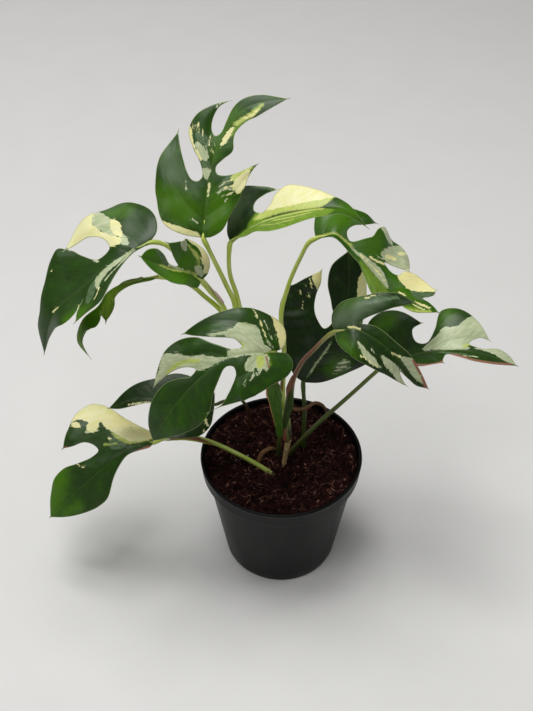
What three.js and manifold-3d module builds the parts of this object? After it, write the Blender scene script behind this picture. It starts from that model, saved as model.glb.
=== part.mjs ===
// Mini monstera (a tetrasperma vine with cream variegation) in a round nursery pot.
// Millimetres, +Z up.  The origin is the centre of the pot's base, on the surface it stands on.
// The plant grows from the coir in the pot: one main shoot with a crown of petioles,
// five petioles that come straight out of the coir, an old cane and two aerial roots.

import * as THREE from "three";
import { mergeVertices } from "three/addons/utils/BufferGeometryUtils.js";
import Module from "manifold-3d";

const wasm = await Module();
wasm.setup();

// ---------------------------------------------------------------- driving dimensions

const POT_TOP_RADIUS = 60;
const POT_BASE_RADIUS = 42;
const POT_HEIGHT = 100;
const POT_WALL = 1.6;
const POT_FLOOR = 2.4;
const RIM_HEIGHT = 13;
const RIM_STEP = 2.2;
const FOOT_HEIGHT = 2;
const FOOT_INSET = 2.5;
const DRAIN_HOLES = 8;
const DRAIN_RADIUS = 4;
const DRAIN_CIRCLE = 29;
const DRAIN_SIDES = 10;
const LIP = 1.2;
const POT_SIDES = 40;
const RIM_BOTTOM = POT_HEIGHT - RIM_HEIGHT;
const WALL_TOP_RADIUS = POT_TOP_RADIUS - 2 * RIM_STEP;

const COIR_TOP = 93;
const COIR_RELIEF = 1.3;
const COIR_RINGS = 7;
const COIR_SIDES = 40;

const CLEARANCE = 0.3;
const HOLE_CLEARANCE = 0.42;

const BLADE_THICKNESS = 0.8;
const MIDRIB_RIDGE = 1.0;
const MIDRIB_STEP = 9.5;
const SEAM_STEPS = 2;
const EDGE_STEPS = 6;
const DROOP_LENGTH = 45;
const KNEE_BACK = 0.15;

const PETIOLE_SIDES = 6;
const PETIOLE_STEP = 12;
const PETIOLE_KNEE_RADIUS = 1.3;
const PETIOLE_FOOT_RADIUS = 1.9;

const STEM_SIDES = 8;
const STEM_STEP = 5;

const SHEATH_ROWS = 8;
const SHEATH_COLUMNS = 6;

const COLOURS = {
  pot: { color: 0x101011, roughness: 0.42, metalness: 0 },
  coir: { color: 0x2c1a12, roughness: 0.95, metalness: 0 },
  blade: { color: 0x2f5a2a, roughness: 0.38, metalness: 0 },
  petiole: { color: 0x7f9a3a, roughness: 0.45, metalness: 0 },
  stem: { color: 0x4c6b2c, roughness: 0.5, metalness: 0 },
  cane: { color: 0x9a7b46, roughness: 0.8, metalness: 0 },
  root: { color: 0x6a4a2c, roughness: 0.85, metalness: 0 },
  sheath: { color: 0x6f8440, roughness: 0.6, metalness: 0 },
};

// ---------------------------------------------------------------- the leaves
//
// midrib: points along the middle of the blade, from the knee of its petiole to its tip.
// face: the way the upper face looks, at even places along the midrib.
// Each half: fold is how far it rises from the midrib's plane, and droop how far it bends down
// in 45 mm, both in degrees at the base and at the tip.  Its edge is given flat, as distance
// along the midrib and distance out from it: lobe by lobe, out to a point and back to a notch,
// and then the end of the blade.
// petiole: its centre line, from its foot up to just short of the blade.

const LEAVES = [
  {
    name: "top",
    midrib: [[-51, 0, 301], [-49, 12, 318], [-46, 25, 336], [-38, 38, 352], [-24, 48, 365], [2, 50, 371]],
    face: [[-0.1, -0.8, 0.6], [-0.1, -0.75, 0.66], [0.05, -0.5, 0.86]],
    left: {
      fold: [8, 8],
      droop: [30, 20],
      lobes: [
        {
          out: [[1, 13], [6, 24], [16, 30], [30, 34], [42, 33]],
          tip: [57, 27],
          back: [[49, 21], [39, 14], [35, 10]],
          notch: [35, 6],
        },
        {
          out: [[38, 4], [45, 7], [52, 14], [60, 21], [68, 21], [75, 17]],
          tip: [83, 10],
          back: [[78, 12], [71, 11], [65, 8]],
          notch: [63, 4],
        },
      ],
      end: [[66, 2], [74, 3], [86, 6], [99, 5]],
    },
    right: {
      fold: [8, 8],
      droop: [25, 20],
      lobes: [
        {
          out: [[1, 5], [6, 12], [18, 17], [32, 23], [46, 25]],
          tip: [58, 28],
          back: [[51, 23], [45, 17], [41, 10]],
          notch: [41, 5],
        },
      ],
      end: [[45, 3], [51, 6], [59, 10], [70, 6], [82, 7], [93, 8]],
    },
    petiole: [[-33.5, 5, 218.6], [-32, 5, 241], [-38, 5, 260], [-44, 4, 278], [-49, 1, 295]],
  },
  {
    name: "cream",
    midrib: [[-35, 10, 291], [-16, 8, 307], [4, 5, 317], [22, 3, 322], [37, 0, 323], [51, -8, 316]],
    face: [[0.1, -0.1, 1], [0, -0.1, 1], [0.3, -0.1, 1]],
    left: {
      fold: [25, 15],
      droop: [10, 15],
      lobes: [
        {
          out: [[0, 7], [5, 18], [11, 26], [19, 31], [29, 26]],
          tip: [39, 20],
          back: [[30, 19], [24, 16]],
          notch: [23, 10],
        },
      ],
      end: [[28, 6], [34, 10], [38, 17], [45, 21], [54, 19], [64, 14], [76, 8], [88, 3]],
    },
    right: {
      fold: [25, 22],
      droop: [0, 0],
      lobes: [],
      end: [[10, 8], [26, 20], [43, 28], [56, 22], [70, 15], [84, 8]],
    },
    petiole: [[-26, 10, 208], [-29, 10, 234], [-31, 10, 246], [-35, 10, 264], [-35, 10, 284]],
  },
  {
    name: "upper_right",
    midrib: [[21, 30, 279], [34, 28, 283], [49, 22, 271], [68, 15, 250], [85, 10, 239], [104, 5, 235]],
    face: [[0, -0.1, 1], [0.5, -0.15, 0.8], [0.4, -0.2, 0.9]],
    left: {
      fold: [15, 12],
      droop: [20, 30],
      lobes: [
        {
          out: [[-1, 8], [1, 20], [9, 25], [16, 26], [24, 31]],
          tip: [36, 36],
          back: [[27, 23], [21, 14]],
          notch: [20, 6],
        },
        {
          out: [[25, 3], [32, 13], [37, 22], [38, 32], [43, 41], [54, 42], [65, 45], [73, 39]],
          tip: [76, 25],
          back: [[69, 22], [62, 19]],
          notch: [55, 15],
        },
        {
          out: [[62, 13], [69, 15], [74, 23], [86, 25]],
          tip: [99, 18],
          back: [[92, 14]],
          notch: [86, 9],
        },
      ],
      end: [[92, 7], [99, 4]],
    },
    right: {
      fold: [12, 10],
      droop: [30, 20],
      lobes: [
        {
          out: [[11, 4], [24, 5], [36, 5], [45, 10], [53, 16]],
          tip: [60, 18],
          back: [[63, 11]],
          notch: [69, 4],
        },
      ],
      end: [[79, 7], [88, 8], [97, 4]],
    },
    petiole: [
      [0.5, 5, 152], [1, 10, 175], [1, 13, 200], [-1, 18, 220],
      [4, 24, 243], [12, 28, 264], [17, 30, 274],
    ],
  },
  {
    name: "upper_left",
    midrib: [
      [-84, 0, 299], [-98, -6, 295], [-114, -12, 285],
      [-129, -18, 273], [-146, -24, 260], [-156, -30, 230],
    ],
    face: [[-0.3, -0.2, 1], [-0.5, -0.3, 0.8], [-0.7, -0.4, 0.4]],
    left: {
      fold: [22, 12],
      droop: [0, 0],
      lobes: [
        {
          out: [[8, 3], [16, 6], [24, 12], [34, 22], [46, 30]],
          tip: [65, 25],
          back: [[61, 17]],
          notch: [55, 11],
        },
      ],
      end: [[64, 18], [73, 19], [84, 11], [97, 4]],
    },
    right: {
      fold: [15, 12],
      droop: [20, 10],
      lobes: [
        {
          out: [[-6, 4], [-10, 15], [-7, 28], [4, 38], [18, 41], [32, 44]],
          tip: [51, 34],
          back: [[42, 32], [33, 28], [26, 20]],
          notch: [25, 10],
        },
      ],
      end: [[35, 9], [42, 19], [47, 30], [55, 38], [66, 33], [75, 21], [85, 13], [97, 11]],
    },
    petiole: [[-37.7, 4.4, 220], [-41, 4, 244], [-47, 4, 254], [-65, 4, 281], [-77, 2, 295]],
  },
  {
    name: "young",
    midrib: [[-52, -12, 276], [-60, -16, 286], [-70, -20, 292], [-80, -22, 299], [-88, -23, 304]],
    face: [[0, -0.7, 0.7], [-0.1, -0.8, 0.6]],
    left: {
      fold: [35, 30],
      droop: [-20, -10],
      lobes: [],
      end: [[3, 6], [11, 9], [22, 10], [31, 7], [39, 5]],
    },
    right: {
      fold: [30, 25],
      droop: [-30, 0],
      lobes: [
        {
          out: [[0, 6], [8, 14], [15, 19], [22, 21], [30, 20]],
          tip: [37, 15],
          back: [[30, 9]],
          notch: [22, 3],
        },
      ],
      end: [[29, 3], [35, 7], [41, 9], [46, 6]],
    },
    petiole: [[-34, 0.8, 222], [-40, 0, 245], [-48, -4, 261], [-50.5, -8, 269]],
  },
  {
    name: "hanging",
    midrib: [
      [-82, 12, 260], [-101, 9, 259], [-115, 4, 254], [-122, 0, 245],
      [-133, -4, 236], [-138, -7, 219], [-131, -10, 207],
    ],
    face: [[0, -0.6, 0.8], [-0.2, -0.7, 0.7], [-0.7, -0.5, 0.4], [-0.9, -0.4, 0.1]],
    left: {
      fold: [-15, -15],
      droop: [20, 10],
      lobes: [
        {
          out: [[4, 2], [12, 3], [24, 4], [34, 6], [42, 9]],
          tip: [50, 11],
          back: [[50, 7]],
          notch: [49, 4],
        },
      ],
      end: [[52, 8], [57, 10], [64, 8], [70, 5], [82, 5]],
    },
    right: {
      fold: [-95, -95],
      droop: [0, 0],
      lobes: [],
      end: [[7, 4], [20, 8], [32, 11], [46, 12], [60, 10], [76, 5]],
    },
    petiole: [[-35.5, 8.7, 219], [-42, 8, 234], [-52, 8, 246], [-61, 9, 255], [-73, 11, 259]],
  },
  {
    name: "front",
    midrib: [
      [-5, -35, 236], [-22, -40, 239], [-38, -42, 236],
      [-54, -46, 223], [-73, -52, 200], [-87, -56, 174],
    ],
    face: [[0, -0.6, 0.8], [-0.2, -0.7, 0.7], [-0.45, -0.75, 0.5]],
    left: {
      fold: [0, 0],
      droop: [25, 15],
      lobes: [
        {
          out: [[-8, 2], [-11, 9], [-7, 16], [3, 21], [16, 27], [32, 30]],
          tip: [68, 20],
          back: [[54, 21], [42, 18], [30, 12]],
          notch: [30, 7],
        },
      ],
      end: [[36, 5], [46, 9], [57, 14], [68, 20], [80, 21], [94, 16], [107, 7]],
    },
    right: {
      fold: [12, 8],
      droop: [40, 25],
      lobes: [
        {
          out: [[-5, 2], [-8, 8], [-7, 17], [0, 24], [11, 29], [23, 31], [36, 30]],
          tip: [47, 30],
          back: [[42, 23], [34, 15], [25, 10]],
          notch: [22, 5],
        },
        {
          out: [[29, 5], [36, 12], [42, 22], [50, 28], [60, 29], [72, 25]],
          tip: [84, 19],
          back: [[76, 18], [67, 16], [59, 12]],
          notch: [54, 6],
        },
      ],
      end: [[60, 5], [67, 10], [75, 14], [86, 15], [97, 13], [108, 8]],
    },
    petiole: [
      [-2, 4, 82], [-2, 3, 93], [-2, -4, 114], [-1.5, -10, 134],
      [-4, -17, 162], [-6.5, -25, 195], [-6, -32, 226],
    ],
  },
  {
    name: "rear_low",
    midrib: [[-48, 0, 152], [-73, 2, 154], [-101, 4, 154], [-125, 5, 143]],
    face: [[0, -0.6, 0.8], [0, -0.4, 0.9], [-0.3, -0.3, 0.9]],
    left: {
      fold: [10, 10],
      droop: [10, 10],
      lobes: [
        {
          out: [[0, 7], [1, 16], [7, 24], [18, 28]],
          tip: [37, 30],
          back: [[34, 20]],
          notch: [33, 9],
        },
      ],
      end: [[44, 4], [58, 5], [70, 4]],
    },
    right: {
      fold: [5, 5],
      droop: [20, 15],
      lobes: [],
      end: [[2, 10], [15, 17], [30, 20], [44, 15], [56, 12], [68, 7]],
    },
    petiole: [[-24, 31, 82], [-24, 31, 93], [-25, 28, 118], [-32, 18, 140], [-42, 5, 150]],
  },
  {
    name: "lower_left",
    midrib: [[-94, -5, 119], [-111, -12, 118], [-136, -20, 99], [-173, -28, 60]],
    face: [[-0.1, 0.2, 1], [-0.2, -0.6, 0.8], [-0.5, -0.7, 0.5]],
    left: {
      fold: [12, 5],
      droop: [10, 15],
      lobes: [],
      end: [[4, 7], [13, 6], [21, 5], [30, 8], [40, 13], [51, 20], [64, 20], [80, 15], [94, 8]],
    },
    right: {
      fold: [12, 5],
      droop: [20, 15],
      lobes: [
        {
          out: [[-2, 8], [5, 22], [14, 33], [23, 46], [31, 52], [41, 48], [53, 39]],
          tip: [62, 32],
          back: [[54, 28], [45, 25], [40, 19]],
          notch: [39, 13],
        },
      ],
      end: [[45, 12], [57, 15], [71, 20], [83, 19], [95, 11]],
    },
    petiole: [[2, -17, 86], [-8, -13, 93], [-30, -4, 102], [-56, 6, 108], [-74, 3, 116], [-87, -3, 119]],
  },
  {
    name: "rear",
    midrib: [[16, 25, 149], [25, 29, 164], [35, 34, 180], [42, 41, 196], [47, 50, 216], [46, 60, 243]],
    face: [[0, -1, 0.3], [0, -1, 0.4], [0, -1, 0.5]],
    left: {
      fold: [5, 5],
      droop: [20, 10],
      lobes: [
        {
          out: [[2, 9], [10, 20], [21, 32], [38, 42], [58, 44], [77, 40]],
          tip: [93, 24],
          back: [[80, 21], [67, 21], [54, 18]],
          notch: [46, 9],
        },
      ],
      end: [[54, 5], [66, 10], [82, 15], [98, 12]],
    },
    right: {
      fold: [5, 5],
      droop: [20, 10],
      lobes: [
        {
          out: [[6, 10], [17, 19], [28, 26]],
          tip: [38, 34],
          back: [[44, 28]],
          notch: [50, 18],
        },
      ],
      end: [[62, 15], [78, 13], [94, 10]],
    },
    petiole: [[17, 12, 82], [17, 13, 95], [17, 15, 110], [17, 19, 130], [16, 23, 143]],
  },
  {
    name: "mid_right",
    midrib: [[33, -25, 245], [46, -28, 249], [58, -32, 245], [72, -36, 233], [84, -38, 217], [96, -38, 205]],
    face: [[0, -0.5, 0.85], [0.2, -0.7, 0.7], [0.3, -0.8, 0.5]],
    left: {
      fold: [10, 10],
      droop: [20, 30],
      lobes: [
        {
          out: [[-2, 5], [-1, 13], [5, 18], [13, 22], [19, 29], [26, 34]],
          tip: [36, 36],
          back: [[31, 28], [24, 18]],
          notch: [16, 5],
        },
      ],
      end: [[24, 7], [40, 7], [56, 8], [70, 6]],
    },
    right: {
      fold: [0, 0],
      droop: [20, 10],
      lobes: [
        {
          out: [[1, 7], [7, 15], [24, 18], [40, 16], [54, 12]],
          tip: [69, 7],
          back: [[64, 6]],
          notch: [58, 4],
        },
      ],
      end: [[66, 3], [74, 3]],
    },
    petiole: [
      [2.5, -9, 128], [3.5, -10, 151], [6, -10, 167], [7.5, -11, 187],
      [13, -14, 207], [21, -18, 223], [29, -23, 239],
    ],
  },
  {
    name: "lower_right",
    midrib: [[76, 5, 193], [94, 0, 202], [110, -3, 208], [127, -6, 209], [144, -9, 206], [159, -10, 200]],
    face: [[0, -0.2, 1], [0, -0.2, 1], [0.1, -0.2, 1]],
    left: {
      fold: [18, 14],
      droop: [10, 15],
      lobes: [
        {
          out: [[-7, 4], [-15, 16], [-19, 28], [-11, 36], [3, 36]],
          tip: [22, 23],
          back: [[15, 19]],
          notch: [18, 9],
        },
        {
          out: [[26, 7], [32, 16], [36, 30], [44, 32], [54, 27]],
          tip: [67, 12],
          back: [[60, 12]],
          notch: [54, 6],
        },
      ],
      end: [[62, 4], [74, 7], [83, 5]],
    },
    right: {
      fold: [22, 18],
      droop: [0, 0],
      lobes: [
        {
          out: [[4, 5], [12, 11], [24, 16]],
          tip: [38, 14],
          back: [[38, 10]],
          notch: [40, 5],
        },
      ],
      end: [[48, 7], [58, 10], [70, 8], [80, 4]],
    },
    petiole: [[2, 5, 82], [5, 4, 93], [12, 3, 107], [28, 4, 130], [50, 5, 158], [68, 6, 181]],
  },
];

// The stalks that aren't petioles, each a rod whose radius runs through the given values.

const STALKS = [
  {
    name: "cane",
    path: [[1.5, -5, 82], [2, -5, 93], [3, -5, 104], [5, -5, 121]],
    radii: [2.1, 2.1, 2.4, 2.6],
    colour: "cane",
  },
  {
    name: "stem",
    path: [[5.2, -5, 121.9], [4, -3, 136], [-2, 1, 160], [-14, 4, 190], [-25, 5, 206], [-33.3, 5, 216.4]],
    radii: [3, 2.9, 2.9, 2.7],
    colour: "stem",
  },
  {
    name: "root_near",
    path: [[-17, -3, 84], [-17, -3, 92], [-14, 1, 99], [-9, 5, 99], [-5, 10, 93], [-4, 12, 86]],
    radii: [1.6, 1.8, 1.8, 1.5],
    colour: "root",
  },
  {
    name: "root_far",
    path: [
      [34, 37, 84], [34, 37, 93], [34, 34, 108], [31, 29, 121], [25, 24, 129],
      [17, 13, 134], [9, 5, 142], [4.9, 2, 148],
    ],
    radii: [1.2, 1.2, 1.3, 1.4],
    colour: "root",
  },
];

const petiolePath = (name) => LEAVES.find((leaf) => leaf.name === name).petiole;

// start and finish are fractions of the petiole's path, facing is the way the closed side looks,
// and radii and spreads run from the sheath's foot to its free edge.
const SHEATHS = [
  {
    name: "sheath_front",
    path: petiolePath("front"),
    start: 0.34,
    finish: 0.82,
    facing: [-0.1, -1, 0.2],
    radii: [2.6, 2.9, 3.6, 4.6, 5.6],
    spreads: [60, 90, 95, 95, 80],
  },
  {
    name: "sheath_mid",
    path: petiolePath("mid_right"),
    start: 0.1,
    finish: 0.56,
    facing: [-0.8, -0.6, 0],
    radii: [2.5, 3.0, 4.2, 6.0, 2.8],
    spreads: [60, 95, 95, 80, 40],
  },
];

// ---------------------------------------------------------------- small geometry helpers

const CURVE_SAMPLES = 16;
const SHEET_STEPS = 120;
const BEND_STEPS = 12;
const PATH_STEPS = 60;

const vector = ([x, y, z]) => new THREE.Vector3(x, y, z);

function smoothCurve(points) {
  return new THREE.CatmullRomCurve3(points, false, "centripetal");
}

// Points of a curve between two of its control points, evenly spaced by length.
function evenPoints(curve, from, to, steps) {
  const last = curve.points.length - 1;
  const fine = CURVE_SAMPLES * (to - from);
  const dense = [];
  for (let i = 0; i <= fine; i += 1) {
    dense.push(curve.getPoint((from + ((to - from) * i) / fine) / last));
  }
  const reach = [0];
  for (let i = 1; i <= fine; i += 1) {
    reach.push(reach[i - 1] + dense[i].distanceTo(dense[i - 1]));
  }
  const points = [];
  let k = 0;
  for (let i = 0; i <= steps; i += 1) {
    const target = (reach[fine] * i) / steps;
    while (k < fine - 1 && reach[k + 1] < target) k += 1;
    const part = (target - reach[k]) / Math.max(reach[k + 1] - reach[k], 1e-9);
    points.push(dense[k].clone().lerp(dense[k + 1], THREE.MathUtils.clamp(part, 0, 1)));
  }
  return points;
}

// The value at a fraction u of the way through a list of evenly spaced values.
function along(values, u) {
  const place = THREE.MathUtils.clamp(u, 0, 1) * (values.length - 1);
  const k = Math.min(Math.floor(place), values.length - 2);
  return THREE.MathUtils.lerp(values[k], values[k + 1], place - k);
}

function closedGeometry(positions, triangles) {
  const geometry = new THREE.BufferGeometry();
  geometry.setAttribute("position", new THREE.Float32BufferAttribute(positions, 3));
  geometry.setIndex(triangles);
  geometry.computeVertexNormals();
  return geometry;
}

function toSolid(geometry) {
  const plain = new THREE.BufferGeometry();
  plain.setAttribute("position", geometry.getAttribute("position").clone());
  plain.setIndex(geometry.getIndex());
  const merged = mergeVertices(plain, 1e-4);
  return new wasm.Manifold(
    new wasm.Mesh({
      numProp: 3,
      vertProperties: new Float32Array(merged.getAttribute("position").array),
      triVerts: new Uint32Array(merged.getIndex().array),
    }),
  );
}

function fromSolid(solid) {
  const mesh = solid.getMesh();
  return closedGeometry(Array.from(mesh.vertProperties), Array.from(mesh.triVerts));
}

function cut(geometry, tools) {
  let solid = toSolid(geometry);
  for (const tool of tools) solid = solid.subtract(toSolid(tool));
  return fromSolid(solid);
}

const group = new THREE.Group();

function addPiece(name, geometry, colour) {
  const mesh = new THREE.Mesh(geometry, new THREE.MeshStandardMaterial(COLOURS[colour]));
  mesh.name = name;
  group.add(mesh);
}

// A closed round rod along a smooth path, whose radius runs through the given values.
function rod(path, radii, sides, step) {
  const curve = smoothCurve(path.map(vector));
  const last = path.length - 1;
  const steps = Math.max(2, Math.round(curve.getLength() / step));
  const centres = evenPoints(curve, 0, last, steps);
  const positions = [];
  const triangles = [];
  const side = new THREE.Vector3();
  const up = new THREE.Vector3(0.31, -0.9, 0.3);
  centres.forEach((centre, i) => {
    const ahead = centres[Math.min(i + 1, steps)].clone().sub(centres[Math.max(i - 1, 0)]).normalize();
    up.addScaledVector(ahead, -up.dot(ahead)).normalize();
    side.crossVectors(ahead, up);
    const radius = along(radii, i / steps);
    for (let j = 0; j < sides; j += 1) {
      const turn = (2 * Math.PI * j) / sides;
      const point = centre.clone();
      point.addScaledVector(side, radius * Math.cos(turn));
      point.addScaledVector(up, radius * Math.sin(turn));
      positions.push(point.x, point.y, point.z);
    }
  });
  for (let i = 0; i < steps; i += 1) {
    for (let j = 0; j < sides; j += 1) {
      const a = i * sides + j;
      const b = i * sides + ((j + 1) % sides);
      triangles.push(a, a + sides, b + sides, a, b + sides, b);
    }
  }
  for (let j = 1; j < sides - 1; j += 1) {
    const end = steps * sides;
    triangles.push(0, j, j + 1, end, end + j + 1, end + j);
  }
  return closedGeometry(positions, triangles);
}

// ---------------------------------------------------------------- blades

const HALVES = { left: -1, right: 1 };

// The bent sheet that a blade lies in: it turns a place on the flat leaf into one in space.
function leafSheet(leaf) {
  const curve = smoothCurve(leaf.midrib.map(vector));
  const steps = SHEET_STEPS;
  const points = evenPoints(curve, 0, leaf.midrib.length - 1, steps);
  const length = points.slice(1).reduce((sum, point, i) => sum + point.distanceTo(points[i]), 0);
  const faces = leaf.face.map((face) => vector(face).normalize());
  const frames = points.map((point, i) => {
    const ahead = points[Math.min(i + 1, steps)].clone().sub(points[Math.max(i - 1, 0)]).normalize();
    const place = (i / steps) * (faces.length - 1);
    const k = Math.min(Math.floor(place), faces.length - 2);
    const face = faces[k].clone().lerp(faces[k + 1], place - k);
    face.addScaledVector(ahead, -face.dot(ahead)).normalize();
    const across = new THREE.Vector3().crossVectors(ahead, face);
    return { point, ahead, face, across };
  });

  function frameAt(x) {
    const place = (THREE.MathUtils.clamp(x, 0, length) / length) * steps;
    const k = Math.min(Math.floor(place), steps - 1);
    const mix = (key) => frames[k][key].clone().lerp(frames[k + 1][key], place - k);
    const ahead = mix("ahead").normalize();
    const face = mix("face");
    face.addScaledVector(ahead, -face.dot(ahead)).normalize();
    const across = new THREE.Vector3().crossVectors(ahead, face);
    const point = mix("point").addScaledVector(ahead, x - THREE.MathUtils.clamp(x, 0, length));
    return { point, ahead, face, across };
  }

  function place(x, y, half) {
    const frame = frameAt(x);
    const fold = THREE.MathUtils.degToRad(along(leaf[half].fold, x / length));
    const bend = THREE.MathUtils.degToRad(along(leaf[half].droop, x / length)) / DROOP_LENGTH;
    const step = y / BEND_STEPS;
    let out = 0;
    let rise = 0;
    for (let i = 0; i < BEND_STEPS; i += 1) {
      const angle = fold - bend * step * (i + 0.5);
      out += step * Math.cos(angle);
      rise += step * Math.sin(angle);
    }
    return frame.point.addScaledVector(frame.across, HALVES[half] * out).addScaledVector(frame.face, rise);
  }

  return { length, place, frameAt };
}

// The edge of one half, cut into lobes: the points out to each lobe's tip and back to its notch.
function halfEdges(half, length) {
  const flat = ([x, y]) => new THREE.Vector3(x, y, 0);
  const lobes = half.lobes;
  const edges = lobes.map(() => ({}));
  let end = null;
  for (let k = 0; k <= lobes.length; k += 1) {
    const before = k > 0 ? [lobes[k - 1].tip, ...lobes[k - 1].back, lobes[k - 1].notch] : [[0, 0]];
    const after = k < lobes.length ? [...lobes[k].out, lobes[k].tip] : [...half.end, [length, 0]];
    const curve = smoothCurve([...before, ...after].map(flat));
    const notch = before.length - 1;
    const finish = before.length + after.length - 1;
    if (k > 0) edges[k - 1].back = evenPoints(curve, 0, notch, EDGE_STEPS).reverse();
    if (k < lobes.length) {
      const steps = k > 0 ? EDGE_STEPS : EDGE_STEPS + SEAM_STEPS;
      edges[k].out = evenPoints(curve, notch, finish, steps);
    } else {
      end = { curve, notch, finish };
    }
  }
  return { edges, end };
}

// The flat net of one half: triangles on rows that run from the midrib out to each lobe's tip.
function halfNet(leaf, side, ribs, length, addPoint, addTriangle) {
  const half = leaf[side];
  const { edges, end } = halfEdges(half, length);
  const spacing = length / ribs;
  const rib = (i) => new THREE.Vector3(i * spacing, 0, 0);

  function line(from, to, steps) {
    return Array.from({ length: steps + 1 }, (_, i) => from.clone().lerp(to, i / steps));
  }

  function patch(rows) {
    const corners = rows.map((row) => row.map((point) => addPoint(point, side)));
    for (let i = 0; i + 1 < rows.length; i += 1) {
      for (let j = 0; j + 1 < rows[i].length; j += 1) {
        const [a, b, c, d] = [corners[i][j], corners[i + 1][j], corners[i + 1][j + 1], corners[i][j + 1]];
        addTriangle(a, b, c, side);
        addTriangle(a, c, d, side);
      }
    }
  }

  let start = 0;
  let lower = null;
  half.lobes.forEach((lobe, k) => {
    const [x, y] = lobe.notch;
    const left = half.lobes.length - k;
    const wanted = Math.round((x - 0.5 * y) / spacing);
    const stop = Math.min(Math.max(wanted, start + 2), ribs - 2 * left);
    const seam = line(rib(stop), new THREE.Vector3(x, y, 0), SEAM_STEPS);
    const low = lower ? [...lower, ...edges[k].out.slice(1)] : edges[k].out;
    const high = [...seam, ...edges[k].back.slice(1)];
    const across = stop - start;
    const rows = low.map((point, i) => line(point, high[i], across));
    rows[0] = Array.from({ length: across + 1 }, (_, j) => rib(start + j));
    patch(rows);
    start = stop;
    lower = seam;
  });

  const rest = ribs - start;
  const tipEdge = evenPoints(end.curve, end.notch, end.finish, rest);
  const columns = tipEdge.map((point, j) => line(rib(start + j), point, SEAM_STEPS));
  const rows = Array.from({ length: SEAM_STEPS + 1 }, (_, i) => columns.map((column) => column[i]));
  patch(rows);
}

function bladeGeometry(leaf) {
  const sheet = leafSheet(leaf);
  const ribs = Math.max(8, Math.round(sheet.length / MIDRIB_STEP));
  const found = new Map();
  const middle = [];
  const ridge = [];
  const triangles = [];

  function addPoint(flat, side) {
    const onRib = Math.abs(flat.y) < 1e-6;
    const key = `${flat.x.toFixed(3)} ${flat.y.toFixed(3)} ${onRib ? "rib" : side}`;
    if (!found.has(key)) {
      found.set(key, middle.length);
      middle.push(sheet.place(flat.x, flat.y, side));
      ridge.push(onRib ? MIDRIB_RIDGE * (1 - flat.x / sheet.length) : 0);
    }
    return found.get(key);
  }

  function addTriangle(a, b, c, side) {
    if (a === b || b === c || c === a) return;
    triangles.push(side === "right" ? [a, b, c] : [a, c, b]);
  }

  halfNet(leaf, "left", ribs, sheet.length, addPoint, addTriangle);
  halfNet(leaf, "right", ribs, sheet.length, addPoint, addTriangle);
  return thicken(middle, triangles, ridge);
}

// Gives a sheet of triangles its thickness, with walls along its free edges.
function thicken(middle, triangles, ridge) {
  const normals = middle.map(() => new THREE.Vector3());
  for (const [a, b, c] of triangles) {
    const first = middle[b].clone().sub(middle[a]);
    const second = middle[c].clone().sub(middle[a]);
    const normal = first.cross(second);
    for (const corner of [a, b, c]) normals[corner].add(normal);
  }
  const count = middle.length;
  const positions = [];
  for (const direction of [1, -1]) {
    middle.forEach((point, i) => {
      const depth = direction * (BLADE_THICKNESS / 2 + (direction < 0 ? ridge[i] : 0));
      const offset = point.clone().addScaledVector(normals[i].clone().normalize(), depth);
      positions.push(offset.x, offset.y, offset.z);
    });
  }
  const faces = [];
  const edges = new Map();
  for (const [a, b, c] of triangles) {
    faces.push(a, b, c, count + a, count + c, count + b);
    for (const [from, to] of [[a, b], [b, c], [c, a]]) {
      if (!edges.delete(`${to} ${from}`)) edges.set(`${from} ${to}`, [from, to]);
    }
  }
  for (const [from, to] of edges.values()) {
    faces.push(from, count + from, count + to, from, count + to, to);
  }
  return closedGeometry(positions, faces);
}

// ---------------------------------------------------------------- stalks

// The last point of a petiole: just short of the blade, clear of the ridge under its midrib.
function kneePoint(leaf) {
  const start = vector(leaf.midrib[0]);
  const before = vector(leaf.petiole[leaf.petiole.length - 1]);
  const approach = start.clone().sub(before).normalize();
  const face = leafSheet(leaf).frameAt(0).face;
  const ridge = BLADE_THICKNESS / 2 + MIDRIB_RIDGE;
  const steepness = Math.abs(approach.dot(face));
  const below = (PETIOLE_KNEE_RADIUS + BLADE_THICKNESS / 2) * (1 - steepness);
  start.addScaledVector(approach, -(CLEARANCE + KNEE_BACK + ridge * steepness));
  return start.addScaledVector(face, -below);
}

// A stalk's rod; the one that cuts its hole in the coir is wider and longer by the clearance.
function stalkRod(path, radii, sides, step, extra) {
  const lengthened = (end, inner) => {
    const outward = vector(end).sub(vector(inner)).normalize();
    return vector(end).addScaledVector(outward, extra).toArray();
  };
  const first = lengthened(path[0], path[1]);
  const last = lengthened(path[path.length - 1], path[path.length - 2]);
  const wider = radii.map((radius) => radius + extra);
  return rod([first, ...path.slice(1, -1), last], wider, sides, step);
}

function petioleRod(leaf, extra) {
  const path = [...leaf.petiole, kneePoint(leaf).toArray()];
  const radii = [PETIOLE_FOOT_RADIUS, PETIOLE_KNEE_RADIUS];
  return stalkRod(path, radii, PETIOLE_SIDES, PETIOLE_STEP, extra);
}

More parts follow.
